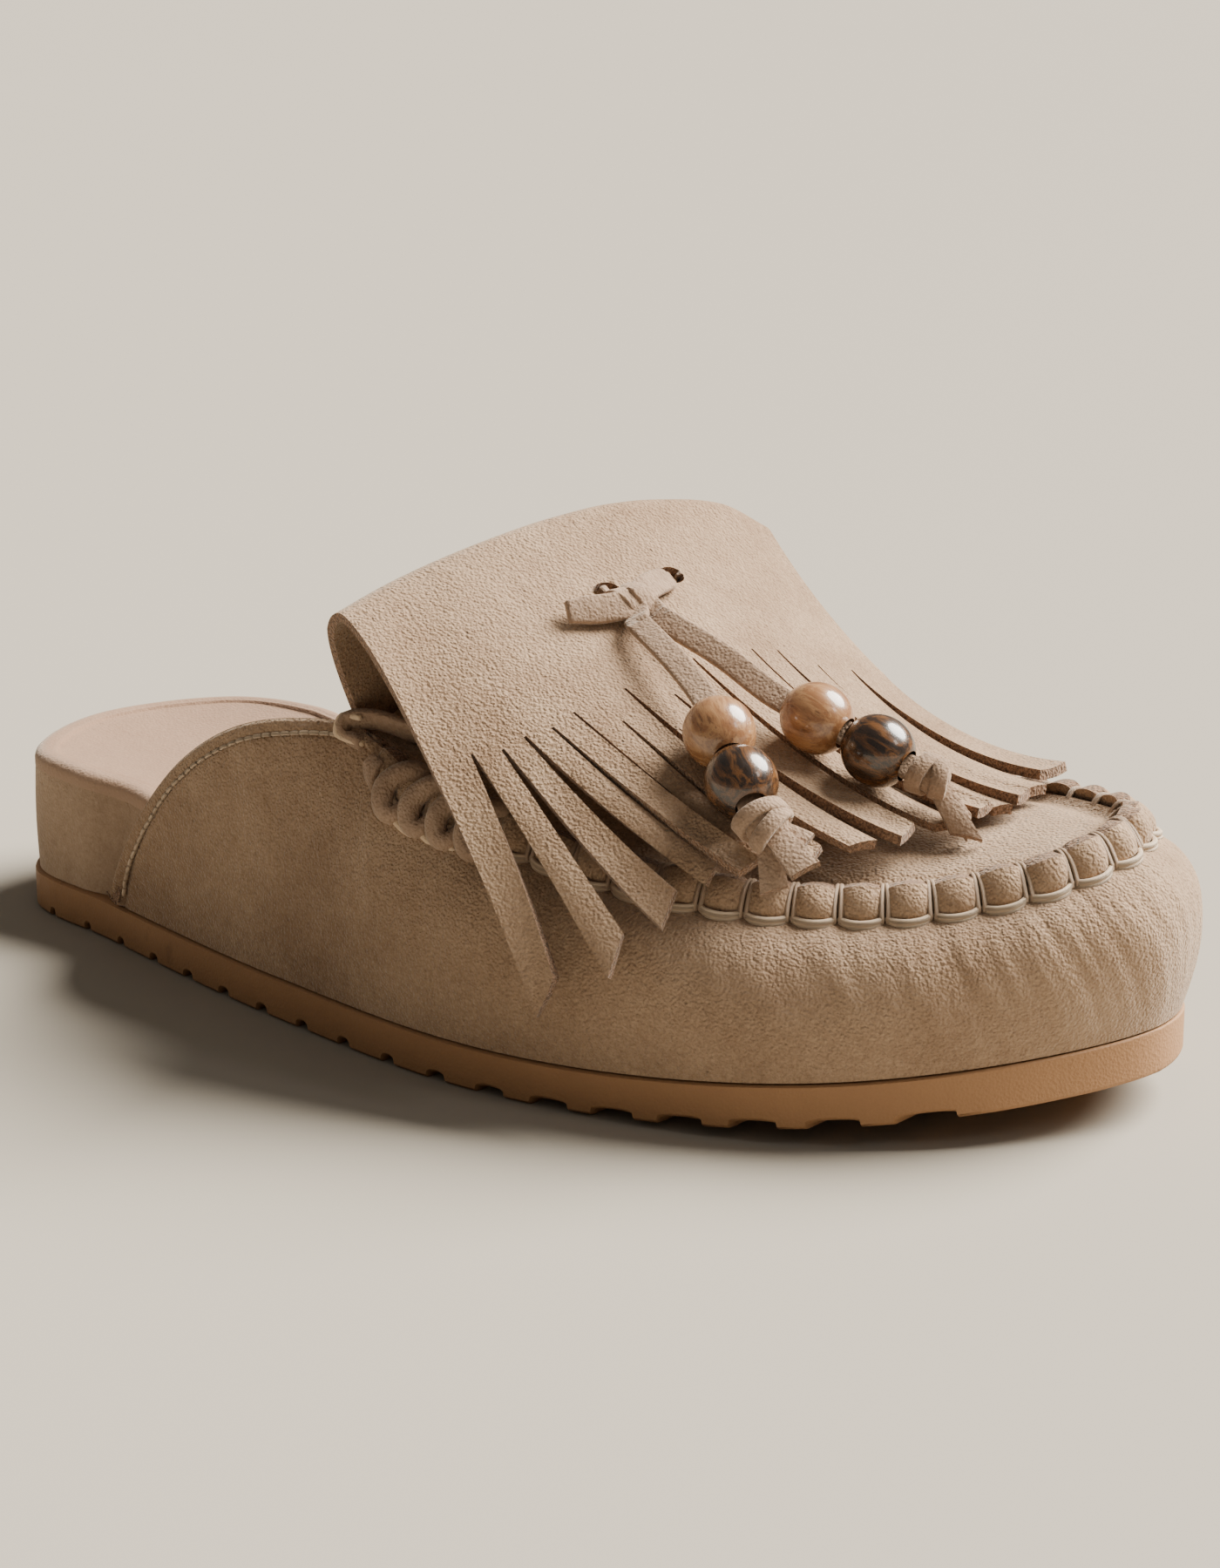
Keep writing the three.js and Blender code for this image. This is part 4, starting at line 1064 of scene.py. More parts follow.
def footbed_piece():
    """The footbed's suede top: a dished cup with an arch, rolled down over a soft rim."""
    ring = inset_ring(lambda x: wrap_inset(x) - 0.1, RING_SAMPLES)
    outer_y, inner_y, heel_x, toe_x = ring_sides(ring)
    rolled = len(RIM_PROFILE)
    shares = np.linspace(0, 1, 34)[1:-1]
    rows = rolled + len(shares)
    columns = len(ring)
    top = np.zeros((columns, rows, 3))

    def centre_of(p):
        x = float(np.clip(p[0], -86, 84))
        return vec(x, (outer_y(x) + inner_y(x)) / 2, 0)

    def dip(x, y):
        a, b = outer_y(x), inner_y(x)
        across = float(np.clip(2 * (y - a) / max(b - a, 1) - 1, -1, 1))
        along = 2 * (x - heel_x) / (toe_x - heel_x) - 1
        depth = mix(CUP_DEPTH, CUP_DEPTH / 3, ease(x, -SOLE_LENGTH * 0.3, SOLE_LENGTH * 0.05))
        arch = 0.5 * ease(across, 0.1, 0.9) * math.exp(-((x / (SOLE_LENGTH * 0.14)) ** 2))
        return depth * ((1 - across ** 2) * max(0, 1 - along ** 6)) ** 1.4 * (1 - arch)

    for i, p in enumerate(ring):
        middle = centre_of(p)
        inward = unit((middle - p) * vec(1, 1, 0))
        for j, (step, drop, _) in enumerate(RIM_PROFILE):
            q = p + inward * step * RIM_ROLL
            q[2] = rim_height(p[0]) + drop * RIM_ROLL
            top[i, j] = q
        edge = p + inward * RIM_ROLL
        for j, share in enumerate(shares):
            q = mix(edge, middle, share ** 0.9)
            q[2] = rim_height(q[0]) - dip(q[0], q[1])
            q[2] += 0.12 * wave(q[0] * 0.11 + q[1] * 0.05, 3) * wave(q[1] * 0.13, 4)
            top[i, rolled + j] = q
    low = top - UP * FOOTBED_SHEET
    low[:, :rolled] = top[:, :rolled]
    for i, p in enumerate(ring):
        inward = unit((centre_of(p) - p) * vec(1, 1, 0))
        low[i, :rolled] += inward * FOOTBED_SHEET - UP * 0.2
    fade = np.zeros((columns, rows))
    fade[:, :rolled] = [faded for _, _, faded in RIM_PROFILE]
    builder = Builder()
    sheet(builder, top, low, looped=True, raw_walls=False, fade=fade)
    close_middle(builder, top[:, -1], low[:, -1])
    riding_piece("footbed_top", builder, FOOTBED_SUEDE, "shoe", ["footbed_lining"])


def close_middle(builder, top_ring, low_ring):
    """Closes the slot left along a footbed grid's spine, between the ring's two halves."""
    count = len(top_ring)
    for ring, flip in ((top_ring, False), (low_ring, True)):
        faces = []
        for n in range(1, count // 2):
            face = [n - 1, n, count - n, (count - n + 1) % count]
            faces.append(face if flip else face[::-1])
        builder.add(list(ring), faces)


footbed_piece()


def wrap_piece():
    """The suede wrapped round the footbed's side, between the outsole and the rolled rim."""
    ring = inset_ring(wrap_inset, RING_SAMPLES)
    inside = inset_ring(lambda x: wrap_inset(x) + 1.5, RING_SAMPLES)
    shares = np.linspace(0, 1, 9)
    outer = np.zeros((len(ring), len(shares), 3))
    inner = np.zeros_like(outer)
    for i, (p, q) in enumerate(zip(ring, inside)):
        low, high = outsole_top(p[0]) + 0.1, rim_height(p[0]) - 2.6
        for j, share in enumerate(shares):
            bulge = 0.35 * math.sin(math.pi * share) * unit(p - q)
            outer[i, j] = p + bulge + UP * mix(low, high, share)
            inner[i, j] = q + UP * mix(low, high, share)
    builder = Builder()
    sheet(builder, outer, inner, looped=True)
    riding_piece("footbed_side_wrap", builder, WRAP_SUEDE, "shoe", ["footbed_wrap"])


wrap_piece()


# ---------------------------------------------------------------- upper

OPEN_PUCKERS = (17, 20)
RIM_REACH = 8
LIP_WIDTH = 3.1
WALL_ROWS = np.concatenate([np.linspace(0, 0.9, 25), np.linspace(0.92, 1, 6)])
RIDGE_ROWS = np.linspace(0, 1, 15)[1:]
COLLAR_SPANS = {
    "right": (UPPER_ENDS[0], THROAT[0] + 0.02),
    "left": (THROAT[1] - 0.02, UPPER_ENDS[1]),
}
VAMP_COLUMNS = 940
CREASE_DEPTH = 0.85
PILLOW_SWELL = 2.3
PILLOW_LIFT = 0.8
GAP_SINK = 0.8
GAP_DROP = 1.2


def collar_distances(grid):
    """How far each point lies from the stitched collar's edge, up to RIM_REACH."""
    keys = np.concatenate([np.linspace(*span, 500) for span in COLLAR_SPANS.values()])
    tree = nearest_among([top_edge(key) for key in keys])
    flat = grid.reshape(-1, 3)
    return np.array([min(tree.find(p)[2], RIM_REACH) for p in flat]).reshape(grid.shape[:2])


def vamp_column(key):
    """One column of the upper's outer face: the wall, then the gathered ridge above the seam's foot, with
    painted shade in the gaps between pillows.
    """
    out = outward_at(key)
    section = wall_section(key)
    foot, top = section[3], top_edge(key)
    front, back = THROAT
    gathered = ease(key, front - 0.02, front + 0.12) * (1 - ease(key, back - 0.12, back + 0.02))
    share = float(gathered)
    phase = abs(math.sin(math.pi * seam_place(key)))
    pillow = phase ** 0.34
    number = int(seam_place(key))
    vary = 1 + 0.16 * wave(number * 2.1, 5)
    margin = min(RIDGE_HEIGHT / max(foot[2] - section[0][2], 1), 0.6)
    points, dark = [], []
    for v in WALL_ROWS:
        crease = (1 - pillow) * share * ease(v, 0.72, 1.0)
        p = bezier(*section, mix(v * (1 - margin), v, share)) - out * CREASE_DEPTH * crease * vary
        gather = 0.28 * share * ease(v, 0.6, 0.95) * wave(seam_place(key) * 4.4, 12)
        broad = 0.34 * wave(key * 9 + v * 3, 1) * math.sin(math.pi * v)
        small = 0.14 * wave(key * 31 + v * 5, 2) * ease(v, 0.3, 0.8)
        points.append(p + out * (broad + small + gather))
        # Painted shade: near-black at the seam's foot in each gap between pillows, where the stitch holes
        # are.
        dark.append(0.95 * share * ease(v, 0.97, 1.0) * (1 - ease(phase, 0.05, 0.2)))
    for t in RIDGE_ROWS:
        collar = bezier(*section, 1 - margin * (1 - t))
        gap = 1 - pillow
        puff = (PILLOW_SWELL * pillow * vary - gap) * math.sin(math.pi * min(0.08 + 0.84 * t, 1)) ** 0.6
        ridge = mix(foot, top, t ** 0.9) + out * (puff - GAP_SINK * gap * (1 - t)) - UP * GAP_DROP * gap * t
        ridge = ridge + UP * PILLOW_LIFT * pillow * t * (1 + 0.35 * wave(number * 3.3, 6))
        if number in OPEN_PUCKERS:
            ridge = ridge + out * 1.1 * t * t * pillow
        points.append(mix(collar, ridge, share))
        # Painted shade: each gap between pillows darkened up the ridge, most at its foot.
        dark.append(share * (1 - ease(phase, 0.03, 0.16)) * (0.95 - 0.75 * ease(t, 0.05, 0.3)))
    return points, dark, share


def vamp_piece():
    """Vamp and quarters in one: a wrinkled wall, gathered into pillows, with a stitched collar."""
    keys = np.linspace(*UPPER_ENDS, VAMP_COLUMNS + 1)
    built = [vamp_column(key) for key in keys]
    outer = np.array([points for points, _, _ in built])
    # The dark tint here is painted shade in the gaps between pillows.
    dark = np.array([values for _, values, _ in built])
    share = np.array([value for _, _, value in built])[:, None]
    normals = grid_normals(outer)
    middle = VAMP_COLUMNS // 2
    if normals[middle, 5].dot(outward_at(keys[middle])) < 0:
        normals = -normals
    distance = collar_distances(outer)
    lip = 0.2 * (1 - ease(distance, LIP_WIDTH - 0.9, LIP_WIDTH)) - 0.35 * (1 - ease(distance, 0, 0.9))
    groove = -0.25 * np.exp(-((distance - LIP_WIDTH) / 0.5) ** 2)
    profile = (lip + groove) * (1 - share)
    outer = outer + normals * profile[..., None]
    rim = (RIM_REACH - distance) * (1 - share)
    inner = outer - vamp_inward(keys, normals, share)
    first = len(WALL_ROWS)
    for i, key in enumerate(keys):
        if share[i, 0] <= 0:
            continue
        behind = apron_edge(key, outward=0.75, drop=0)
        for n in range(3, len(RIDGE_ROWS)):
            target = vec(behind[0], behind[1], inner[i, first + n, 2])
            inner[i, first + n] = mix(inner[i, first + n], target, share[i, 0] * ease(n, 3, 8) * 0.8)
    builder = Builder()
    sheet(builder, outer, inner, dark=dark, rim=rim)
    piece = riding_piece("vamp_and_quarters", builder, SUEDE, "shoe", ["vamp"])
    return piece, outer, normals


def vamp_inward(keys, normals, share):
    """The upper's thickness as vectors, laid level along the ridge, so that pillows stay full."""
    inward = normals.copy()
    ridge = inward[:, len(WALL_ROWS):]
    flat = np.array([outward_at(key) for key in keys])[:, None]
    ridge[:] = unit(mix(ridge, np.broadcast_to(flat, ridge.shape), 0.85 * share[..., None]))
    return inward * UPPER_THICKNESS * 0.86


vamp, VAMP_GRID, VAMP_NORMALS = vamp_piece()


TOE_KEY = 7.05
APRON_THICKNESS = 1.7


def apron_piece():
    """The apron: crowned, its edge turned up behind the puckers, with faint wrinkles."""
    outer, inner = [
        np.array([apron_edge(key) for key in np.linspace(corner, TOE_KEY, 300)]) for corner in THROAT
    ]
    start = max(outer[0][0], inner[0][0])
    end = outer[-1][0]
    nu, nv = 90, 56
    top = np.zeros((nu + 1, nv + 1, 3))

    def side_point(line, x):
        return vec(x, np.interp(x, line[:, 0], line[:, 1]), np.interp(x, line[:, 0], line[:, 2]))

    for i in range(nu + 1):
        along = math.sin(math.pi / 2 * i / nu)
        x = mix(start, end, along)
        a, b = side_point(outer, x), side_point(inner, x)
        for j in range(nv + 1):
            across = -math.cos(math.pi * j / nv)
            p = mix(a, b, (across + 1) / 2)
            p[2] += crown(along)[0] * (1 - across ** 2)
            edge = min(np.linalg.norm(p - a), np.linalg.norm(p - b), (end - x) * 1.2)
            p[2] += 0.5 * (1 - ease(edge, 0, 2.2)) - 0.7 * math.exp(-((edge - 3) / 2.2) ** 2)
            p[2] += 0.3 * wave(x * 0.16 + across, 7) * wave(across * 3 + x * 0.05, 8) * ease(edge, 2, 10)
            top[i, j] = p
    low = top - UP * APRON_THICKNESS
    builder = Builder()
    sheet(builder, top, low)
    return riding_piece("apron_plug", builder, SUEDE, "shoe", ["apron"])


apron = apron_piece()


def seam_thread_piece():
    """The waxed thread: doubled over the seam between puckers, and along the foot of each."""
    builder = Builder()
    first, last = 2, PUCKER_COUNT - 2
    radius = 0.48
    for gap in range(first, last + 1):
        key = key_of_place(gap)
        out = outward_at(key)
        foot, top = seam_foot(key), top_edge(key)
        along = unit(seam_foot(key + 0.02) - foot)
        for lane in (-0.5, 0.5):
            shift = along * lane
            route = [
                foot - out * 1.6 - UP * 0.3 + shift, foot + out * 0.6 + UP * 0.1 + shift,
                mix(foot, top, 0.35) + out * 0.95 + shift * 1.1, mix(foot, top, 0.75) + out * 0.75 + shift,
                top - UP * 0.2 + out * 0.1 + shift * 0.8, top - out * 1.6 - UP * 0.1 + shift * 0.6,
                apron_edge(key) - UP * 0.6 - out * 0.8 + shift * 0.5,
            ]
            tube(builder, smooth_path(route, 18), radius * 0.9, sides=7, fade=0.85)
        if gap == last:
            continue
        for lane, drop in ((0, 0.25), (0.75, -0.55)):
            route = []
            for part in np.linspace(0.04, 0.96, 7):
                k = key_of_place(gap + part)
                bulge = math.sin(math.pi * part) ** 0.5
                off = -0.9 + (2.7 + 0.3 * lane) * bulge
                route.append(seam_foot(k) + outward_at(k) * off + UP * (0.3 + drop - 0.3 * bulge))
            tube(builder, smooth_path(route, 12), radius * (1.15 - 0.3 * (lane > 0)), sides=7)
    riding_piece("seam_thread", builder, SEAM_THREAD, "shoe", ["apron_thread"])


seam_thread_piece()
STITCH_PITCH = 2.3


def collar_stitches(side):
    """A run of short stitches in the groove below one collar edge."""
    first, last = COLLAR_SPANS[side]
    keys = np.linspace(max(first, UPPER_ENDS[0] + 0.02), min(last, UPPER_ENDS[1] - 0.02), 260)
    edge = np.array([top_edge(key) for key in keys])
    along = unit(np.gradient(edge, axis=0))
    outward = np.array([outward_at(key) for key in keys])
    line = edge + unit(np.cross(along, outward)) * LIP_WIDTH
    columns = slice(0, 260) if side == "right" else slice(len(VAMP_GRID) - 200, len(VAMP_GRID))
    near, facing = VAMP_GRID[columns].reshape(-1, 3), VAMP_NORMALS[columns].reshape(-1, 3)
    tree = nearest_among(near)
    found = [tree.find(p)[1] for p in line]
    normals = facing[found]
    line = line + normals * ((near[found] - line) * normals).sum(1, keepdims=True)
    lengths = lengths_along(line)
    builder = Builder()

    def at(distance, height):
        """A point so far along the line, at a height over the suede."""
        p = vec(*[np.interp(distance, lengths, line[:, k]) for k in range(3)])
        q = vec(*[np.interp(distance, lengths, normals[:, k]) for k in range(3)])
        return p + q * height

    for n in range(int(lengths[-1] / STITCH_PITCH)):
        stitch = []
        for part in np.linspace(0.1, 0.9, 7):
            stitch.append(at((n + part) * STITCH_PITCH, -0.1 + 0.5 * math.sin(math.pi * part) ** 0.5))
        tube(builder, stitch, 0.4, 7)
    name, node = f"collar_stitches_{side}", f"collar_thread_{side}"
    riding_piece(name, builder, STITCH_THREAD, "shoe", [node])


for side in COLLAR_SPANS:
    collar_stitches(side)


WHIP_LOOPS = 4
# Each row of a route: keys past the corner, level up the seam, distance out of it, and rise.
WHIP_OVER = [
    (0.24, 1.0, -10, 2.6), (0.13, 1.0, -5.5, 2.4), (0.03, 1.0, -2, 1.9), (-0.04, 1.0, 0.9, 0.4),
    (-0.03, 1.0, 1.5, -2.0), (0.05, 0.7, 1.7, -1.6),
]
WHIP_DOWN = [(0.15, 0.9, 2.4, 0), (0.14, 0.2, 2.5, 0), (0.13, 0, 1.9, -3.4), (0.125, 0, -0.4, -5.6)]
WHIP_LOOP = [
    (0.075, 1.0, -1.2, 0.4), (0.04, 1.0, 1.3, 1.0), (0, 0.85, 2.5, 0), (-0.02, 0.4, 3.0, 0),
    (0, -0.05, 2.8, -0.8), (0.035, -0.15, 2.2, -0.6), (0.06, 0.2, 0.9, 0),
]
WHIP_STRAND = [(-0.1, 0, 2.3, -0.4), (-0.06, 0, 2.9, -2.2), (0.02, 0, 2.9, -2.9), (0.07, 0, 1.8, -1.6)]
WHIP_WRAP = [
    (0.02, 1.0, 0.6, 2.4), (-0.055, 1.0, 1.2, 1.5), (-0.06, 1.0, 2.2, -1.6), (0.0, 0.9, 2.4, -1.9),
    (0.06, 0.9, 2.0, -0.9),
]


def side_whip(side):
    """The lace at a throat corner: over the collar, into a hole, then loops down the seam."""
    sign = 1 if side == "right" else -1
    corner = THROAT[0] if side == "right" else THROAT[1]
    builder = Builder()

    def at(step, level, off):
        """A point `step` keys along from the corner; level 0 is the seam's foot and 1 the top edge."""
        key = corner + sign * step
        return mix(seam_foot(key), top_edge(key), level) + outward_at(key) * off

    def route(rows, step=0.0):
        """Points from rows of step, level, off and rise."""
        return [at(step + ahead, level, off) + UP * rise for ahead, level, off, rise in rows]

    def hole(step, off, drop, depth, radius):
        """A short near-black plug: painted shade that stands for a hole."""
        plug = route((step, 0, off, -drop - depth * t) for t in (0, 0.5, 1))
        tube(builder, plug, radius, 8, dark=1.0, taper=[0.5, 1, 0.5])

    level_across = unit(UP + outward_at(corner) * 0.5)
    tube(builder, smooth_path(route(WHIP_OVER), 26), 2.0, 12, 0.42, level_across)
    seam_across = unit(at(0.1, 0, 0) - at(0.05, 0, 0))
    flat_band(builder, route(WHIP_DOWN), 4.0, 1.5, seam_across, (0.7, 1.0, 0.7))
    hole(0.118, 0.35, 5.4, 0.9, 1.3)
    fullness = np.interp(np.linspace(0, 1, 30), [0, 0.3, 0.8, 1], [0.8, 1.1, 1, 0.6])
    for n in range(WHIP_LOOPS):
        step = 0.24 + 0.115 * n
        tube(builder, smooth_path(route(WHIP_LOOP, step), 30), 1.95, 12, taper=fullness)
        if n > 0:
            tube(builder, smooth_path(route(WHIP_STRAND, step), 16), 0.75, 8, fade=1.0)
    hole(0.268, 1.2, 1.7, 0.8, 1.0)
    tube(builder, smooth_path(route(WHIP_WRAP), 22), 0.6, 8, fade=1.0)
    name, node = f"whip_lace_{side}", f"side_lace_{side}"
    riding_piece(name, builder, LACE_SUEDE, "shoe", [node])


for side in COLLAR_SPANS:
    side_whip(side)


# ---------------------------------------------------------------- kiltie

# Where each slit between two strips starts, across the flap and down it.
SLITS = [
    (-0.86, 0.55), (-0.771, 0.565), (-0.698, 0.57), (-0.619, 0.575), (-0.529, 0.57),
    (-0.41, 0.62), (-0.305, 0.557), (-0.15, 0.60), (0.05, 0.535), (0.20, 0.57),
    (0.342, 0.533), (0.459, 0.548), (0.60, 0.593), (0.787, 0.60),
]
# Each strip's end: its place across the flap and down it, its width, slant, lift and dish.
STRIP_ENDS = [
    (-0.939, 0.988, 5.6, -0.048, 0.6, 0.3), (-0.765, 0.988, 5.8, -0.045, 1.5, -0.3),
    (-0.660, 0.986, 5.6, -0.040, 1.7, 0.3), (-0.555, 0.972, 4.7, -0.025, 0.4, -0.4),
    (-0.469, 0.993, 5.0, -0.010, 1.3, 0.4), (-0.385, 1.000, 4.0, 0.020, 0.1, -0.4),
    (-0.300, 1.012, 4.2, -0.015, 1.2, 0.4), (-0.149, 1.025, 5.6, 0.010, 0.2, -0.3),
    (-0.020, 1.045, 5.6, -0.022, 1.3, 0.4), (0.150, 1.038, 5.0, 0.012, 0.1, -0.3),
    (0.262, 1.052, 4.3, -0.010, 1.1, 0.4), (0.366, 1.044, 4.1, 0.010, 0.1, -0.3),
    (0.465, 1.048, 4.1, -0.010, 1.2, 0.4), (0.617, 1.034, 5.4, 0.010, 0.3, -0.3),
    (0.797, 1.028, 7.6, 0.015, 1.6, 0.3),
]
SLIT_GAP = 0.42
NARROWED_STRIPS = range(3, 12)
NARROWING = 0.88
FLAP_REACH = 1.06
STRIP_CELLS = 8
TONGUE_ROWS, FLAP_ROWS = 30, 96
TUCK_ROWS = 4
TONGUE_PLACES = [n / TUCK_ROWS - 1 for n in range(TUCK_ROWS)]
TONGUE_PLACES += [n / (TONGUE_ROWS - TUCK_ROWS) for n in range(TONGUE_ROWS - TUCK_ROWS)]
FREE_ROW = TONGUE_ROWS + 40


def strip_roots():
    """The two sides of each strip above its slits, as places across the flap."""
    half = SLIT_GAP / np.linalg.norm(fold_line(1) - fold_line(-1))
    lefts = [-1.0] + [s + half for s, _ in SLITS]
    rights = [s - half for s, _ in SLITS] + [1.0]
    starts = [v for _, v in SLITS]
    return lefts, rights, [starts[0]] + starts, starts + [starts[-1]]


def strip_column(n, c, left, right, start):
    """One line of flap points down strip n, at share c of its width."""
    end_s, end_v, width, slant, rise, dish = STRIP_ENDS[n]
    if n in NARROWED_STRIPS:
        width *= NARROWING
    low_s, high_s = max(end_s - 0.05, -1), min(end_s + 0.05, 1)
    across = np.linalg.norm(flap_tips(high_s) - flap_tips(low_s))
    end_place = end_s + (c - 0.5) * width * (high_s - low_s) / across
    root_place = mix(left, right, c)
    points = []
    for v in np.linspace(0, 1, FLAP_ROWS):
        free = max(0.0, (v - start) / (1 - start))
        place = mix(root_place, end_place, free ** 0.9)
        down = v + (end_v - 1 + slant * (c - 0.5)) * free ** 1.5
        lift = rise * free ** 1.5 + 0.4 * free * wave(n * 1.9 + v * 4, 9)
        curl = dish * free * (4 * (c - 0.5) ** 2)
        soft = 0.45 * wave(place * 3.1 + v * 2, 10) * math.sin(math.pi * min(v * 1.2, 1)) * (1 - free)
        points.append(on_flap(place, down, lift + curl + soft))
    return points


def flap_faces():
    places, downs = np.linspace(-1, 1, 41), np.linspace(0, FLAP_REACH, 41)
    grid = np.array([[flap_point(s, v) for v in downs] for s in places])
    normals = grid_normals(grid)
    normals = normals if normals[20, 10][2] > 0 else -normals

    def facing(s, v):
        i = int(np.clip(round((s + 1) / 2 * 40), 0, 40))
        return normals[i, int(np.clip(round(v / FLAP_REACH * 40), 0, 40))]

    return facing


FLAP_FACE = flap_faces()
# The lace's two holes, across the flap and down it.
HOLE_PLACES = ((-0.033, 0.328), (0.282, 0.326))
HOLE_HALF = (2.9, 2.1)


def on_flap(s, v, height=0.0):
    """The flap's point at (s, v), raised off its face by a height."""
    return flap_point(s, v) + FLAP_FACE(s, v) * height


def punch_hole(flat, keep, place):
    """Opens one oval hole, drawing the cells' corners round it on to its edge."""
    centre = flap_point(*place)
    side = unit(flap_point(place[0] + 0.02, place[1]) - centre)
    normal = FLAP_FACE(*place)
    down = unit(np.cross(side, normal))
    offset = flat - centre
    a, b = offset @ side / HOLE_HALF[0], offset @ down / HOLE_HALF[1]
    r = np.hypot(a, b)
    near = np.abs(offset @ normal) < 3
    onto_edge = 1 / np.maximum(r, 0.3)
    pull = np.where(r < 1.25, onto_edge, mix(onto_edge, 1.0, (r - 1.25) / 0.35)) - 1
    moved = (r > 0.55) & (r < 1.6) & near
    shift = (a * pull * HOLE_HALF[0])[..., None] * side + (b * pull * HOLE_HALF[1])[..., None] * down
    cells = (offset[:-1, :-1] + offset[1:, :-1] + offset[:-1, 1:] + offset[1:, 1:]) / 4
    inside = np.hypot(cells @ side / HOLE_HALF[0], cells @ down / HOLE_HALF[1]) < 0.86
    keep[inside & near[:-1, :-1]] = False
    flat[moved] += shift[moved]


def kiltie_piece():
    """Tongue and fringed flap in one sheet, folded over, punched and cut into strips."""
    lefts, rights, left_starts, right_starts = strip_roots()
    columns, owners = [], []
    for n in range(STRIP_COUNT):
        for c in np.linspace(0, 1, STRIP_CELLS + 1):
            start = mix(left_starts[n], right_starts[n], c)
            place = mix(lefts[n], rights[n], c)
            tongue = [tongue_point(place, v) for v in TONGUE_PLACES]
            columns.append(tongue + strip_column(n, c, lefts[n], rights[n], start))
            owners.append(n)
    middle = np.array(columns)
    round_fold(middle)
    keep = np.ones((len(columns) - 1, middle.shape[1] - 1), bool)
    for i in range(len(columns) - 1):
        if owners[i] != owners[i + 1]:
            keep[i, TONGUE_ROWS + int(SLITS[owners[i]][1] * FLAP_ROWS):] = False
    for place in HOLE_PLACES:
        punch_hole(middle[:, TONGUE_ROWS:], keep[:, TONGUE_ROWS:], place)
    normals = kiltie_normals(middle, owners)
    builder = Builder()
    sheet(builder, middle[::-1], (middle - normals * KILTIE_THICKNESS * 0.9)[::-1], keep[::-1])
    piece = make_piece("kiltie", builder, SUEDE, ["kiltie_tongue", "kiltie_flap"])
    pivot = vec(*JOINTS["flap_lift"]["pos_m"])
    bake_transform(piece)


def round_fold(middle):
    """Evens out the rows on both sides of the fold."""
    for _ in range(10):
        near = slice(TONGUE_ROWS - 7, TONGUE_ROWS + 8)
        before = middle[:, TONGUE_ROWS - 8:TONGUE_ROWS + 7]
        after = middle[:, TONGUE_ROWS - 6:TONGUE_ROWS + 9]
        middle[:, near] = 0.5 * middle[:, near] + 0.25 * (before + after)


def kiltie_normals(middle, owners):
    """Normals taken strip by strip below the slits, so that no slit twists its neighbours."""
    normals = grid_normals(middle)
    for n in range(STRIP_COUNT):
        mine = [i for i, owner in enumerate(owners) if owner == n]
        strip = slice(mine[0], mine[-1] + 1)
        normals[strip, FREE_ROW:] = grid_normals(middle[strip])[:, FREE_ROW:]
    return normals if normals[len(owners) // 2, TONGUE_ROWS + 20][2] > 0 else -normals


kiltie_piece()

# Each row of a route: its place across the flap and down it, and its height over the flap.
BRIDGE_ROUTE = [
    (*HOLE_PLACES[0], -0.4), (-0.02, 0.328, -2.9), (0.05, 0.327, -3.6), (0.12, 0.327, -3.7),
    (0.2, 0.326, -3.6), (0.27, 0.326, -2.9), (*HOLE_PLACES[1], -0.4),
]
KNOT_TAB = [
    (0.247, 0.338, -0.9), (0.235, 0.343, 0.9), (0.16, 0.356, 2.0), (0.08, 0.372, 2.9), (0.0, 0.39, 3.0),
]
KNOT_STRAP = [
    (0.02, 0.395, 2.6), (-0.08, 0.402, 2.8), (-0.17, 0.392, 2.3), (-0.235, 0.380, 2.0), (-0.295, 0.370, 1.8),
]
KNOT_WRAP = [
    (0.042, 0.358, 0.0), (0.03, 0.366, 1.4), (0.0, 0.374, 2.9), (-0.01, 0.385, 4.3), (0.01, 0.41, 3.2),
    (0.015, 0.43, 1.4),
]
KNOT_SIDE_WRAP = [(-0.09, 0.355, 1.0), (-0.075, 0.372, 3.4), (-0.05, 0.4, 3.5), (-0.03, 0.428, 1.2)]
TAIL_SPREAD = {"right": 0.9, "left": -0.9}


def flap_route(rows):
    return [on_flap(*row) for row in rows]


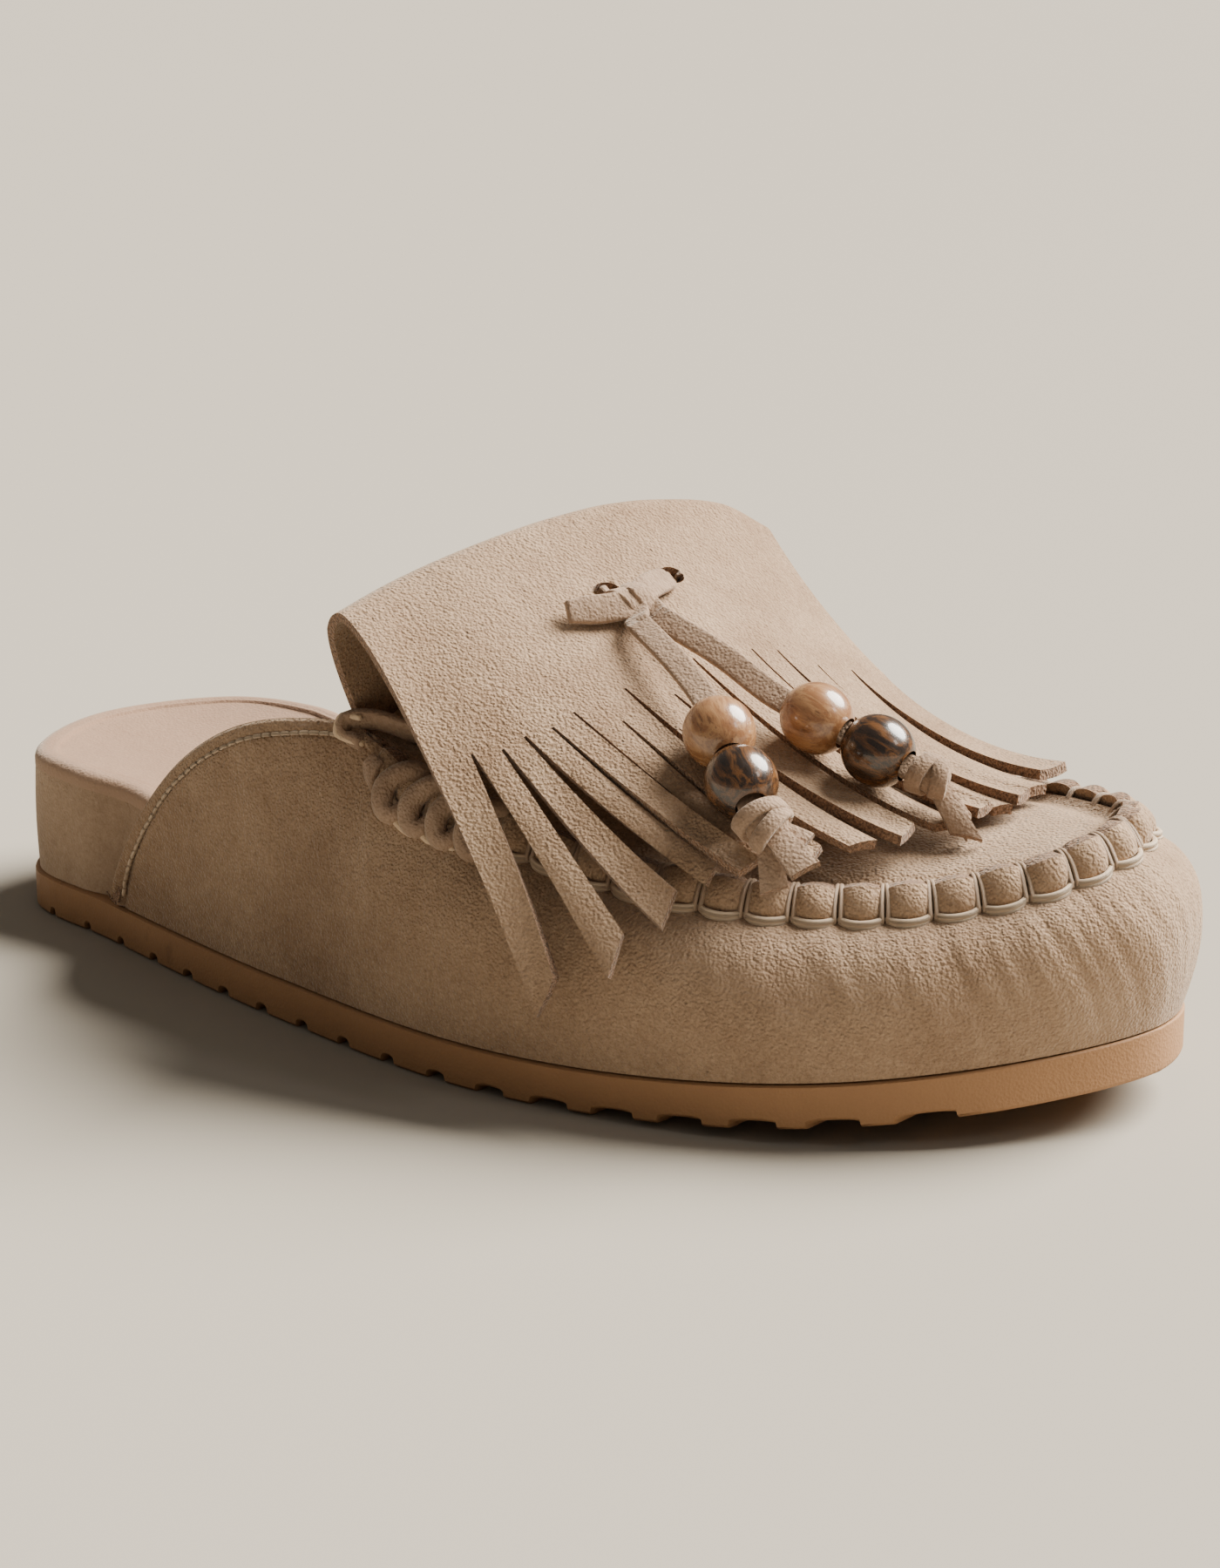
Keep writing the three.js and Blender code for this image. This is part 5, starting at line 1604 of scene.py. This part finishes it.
def flap_lace():
    """The lace behind the flap between both holes, and its knot: a core, a tab, a strap and wraps."""
    hole_a, hole_b = HOLE_PLACES
    side = unit(on_flap(*hole_b) - on_flap(*hole_a))
    normal = FLAP_FACE(*hole_a)
    down = unit(np.cross(side, normal))
    bridge = Builder()
    tube(bridge, smooth_path(flap_route(BRIDGE_ROUTE), 30), 1.5, 12, 0.5, down)
    riding_piece("lace_behind_flap", bridge, LACE_SUEDE, "flap", ["lace_bridge"])
    knot = Builder()
    lump(knot, on_flap(0.0, 0.385, 2.3), side * 4.6, down * 3.3, normal * 2.1, seed=2)
    flat_band(knot, flap_route(KNOT_TAB), 5.2, 1.6, down, (0.45, 1.0, 1.0))
    flat_band(knot, flap_route(KNOT_STRAP), 4.8, 1.6, unit(down - UP * 0.8), (1.0, 1.1, 0.85), 26)
    flat_band(knot, flap_route(KNOT_WRAP), 3.6, 1.5, side, (0.6, 1.0, 0.9), 26)
    flat_band(knot, flap_route(KNOT_SIDE_WRAP), 3.2, 1.4, side, (0.6, 1.0, 0.8), 22)
    for name, plan in PLANS.items():
        shift = side * TAIL_SPREAD[name]
        start = plan["start"]
        between = mix(on_flap(0.0, 0.42, 1.8), start, 0.5)
        heading = unit(plan["route"][1] - start)
        route = [on_flap(0.0, 0.395, 2.2) + shift, between + shift, start, start + heading * 1.2]
        across = unit(np.cross(LACE_FACE, heading))
        flat_band(knot, route, LACE_WIDTH, LACE_THICKNESS, across, (0.9, 1.0, 0.96), 16)
    riding_piece("flap_lace_knot", knot, LACE_SUEDE, "flap", ["lace_knot"])


flap_lace()


# ---------------------------------------------------------------- inner layers and floor

def dress(node, material):
    """Gives a solid of the frame a material, and leaves its shape as it is."""
    data = frame["nodes"][node].data
    data.materials.clear()
    data.materials.append(material)


for node, material in (("cork_core", CORK), ("upper_jute_layer", JUTE), ("lower_jute_layer", JUTE)):
    dress(node, material)


def lay_floor():
    bpy.ops.object.select_all(action="DESELECT")
    bpy.ops.mesh.primitive_plane_add(size=24, location=(0, 0, 0))
    floor = bpy.context.active_object
    floor.name = "floor"
    floor.data.materials.append(floor_paint("pale_floor"))


lay_floor()
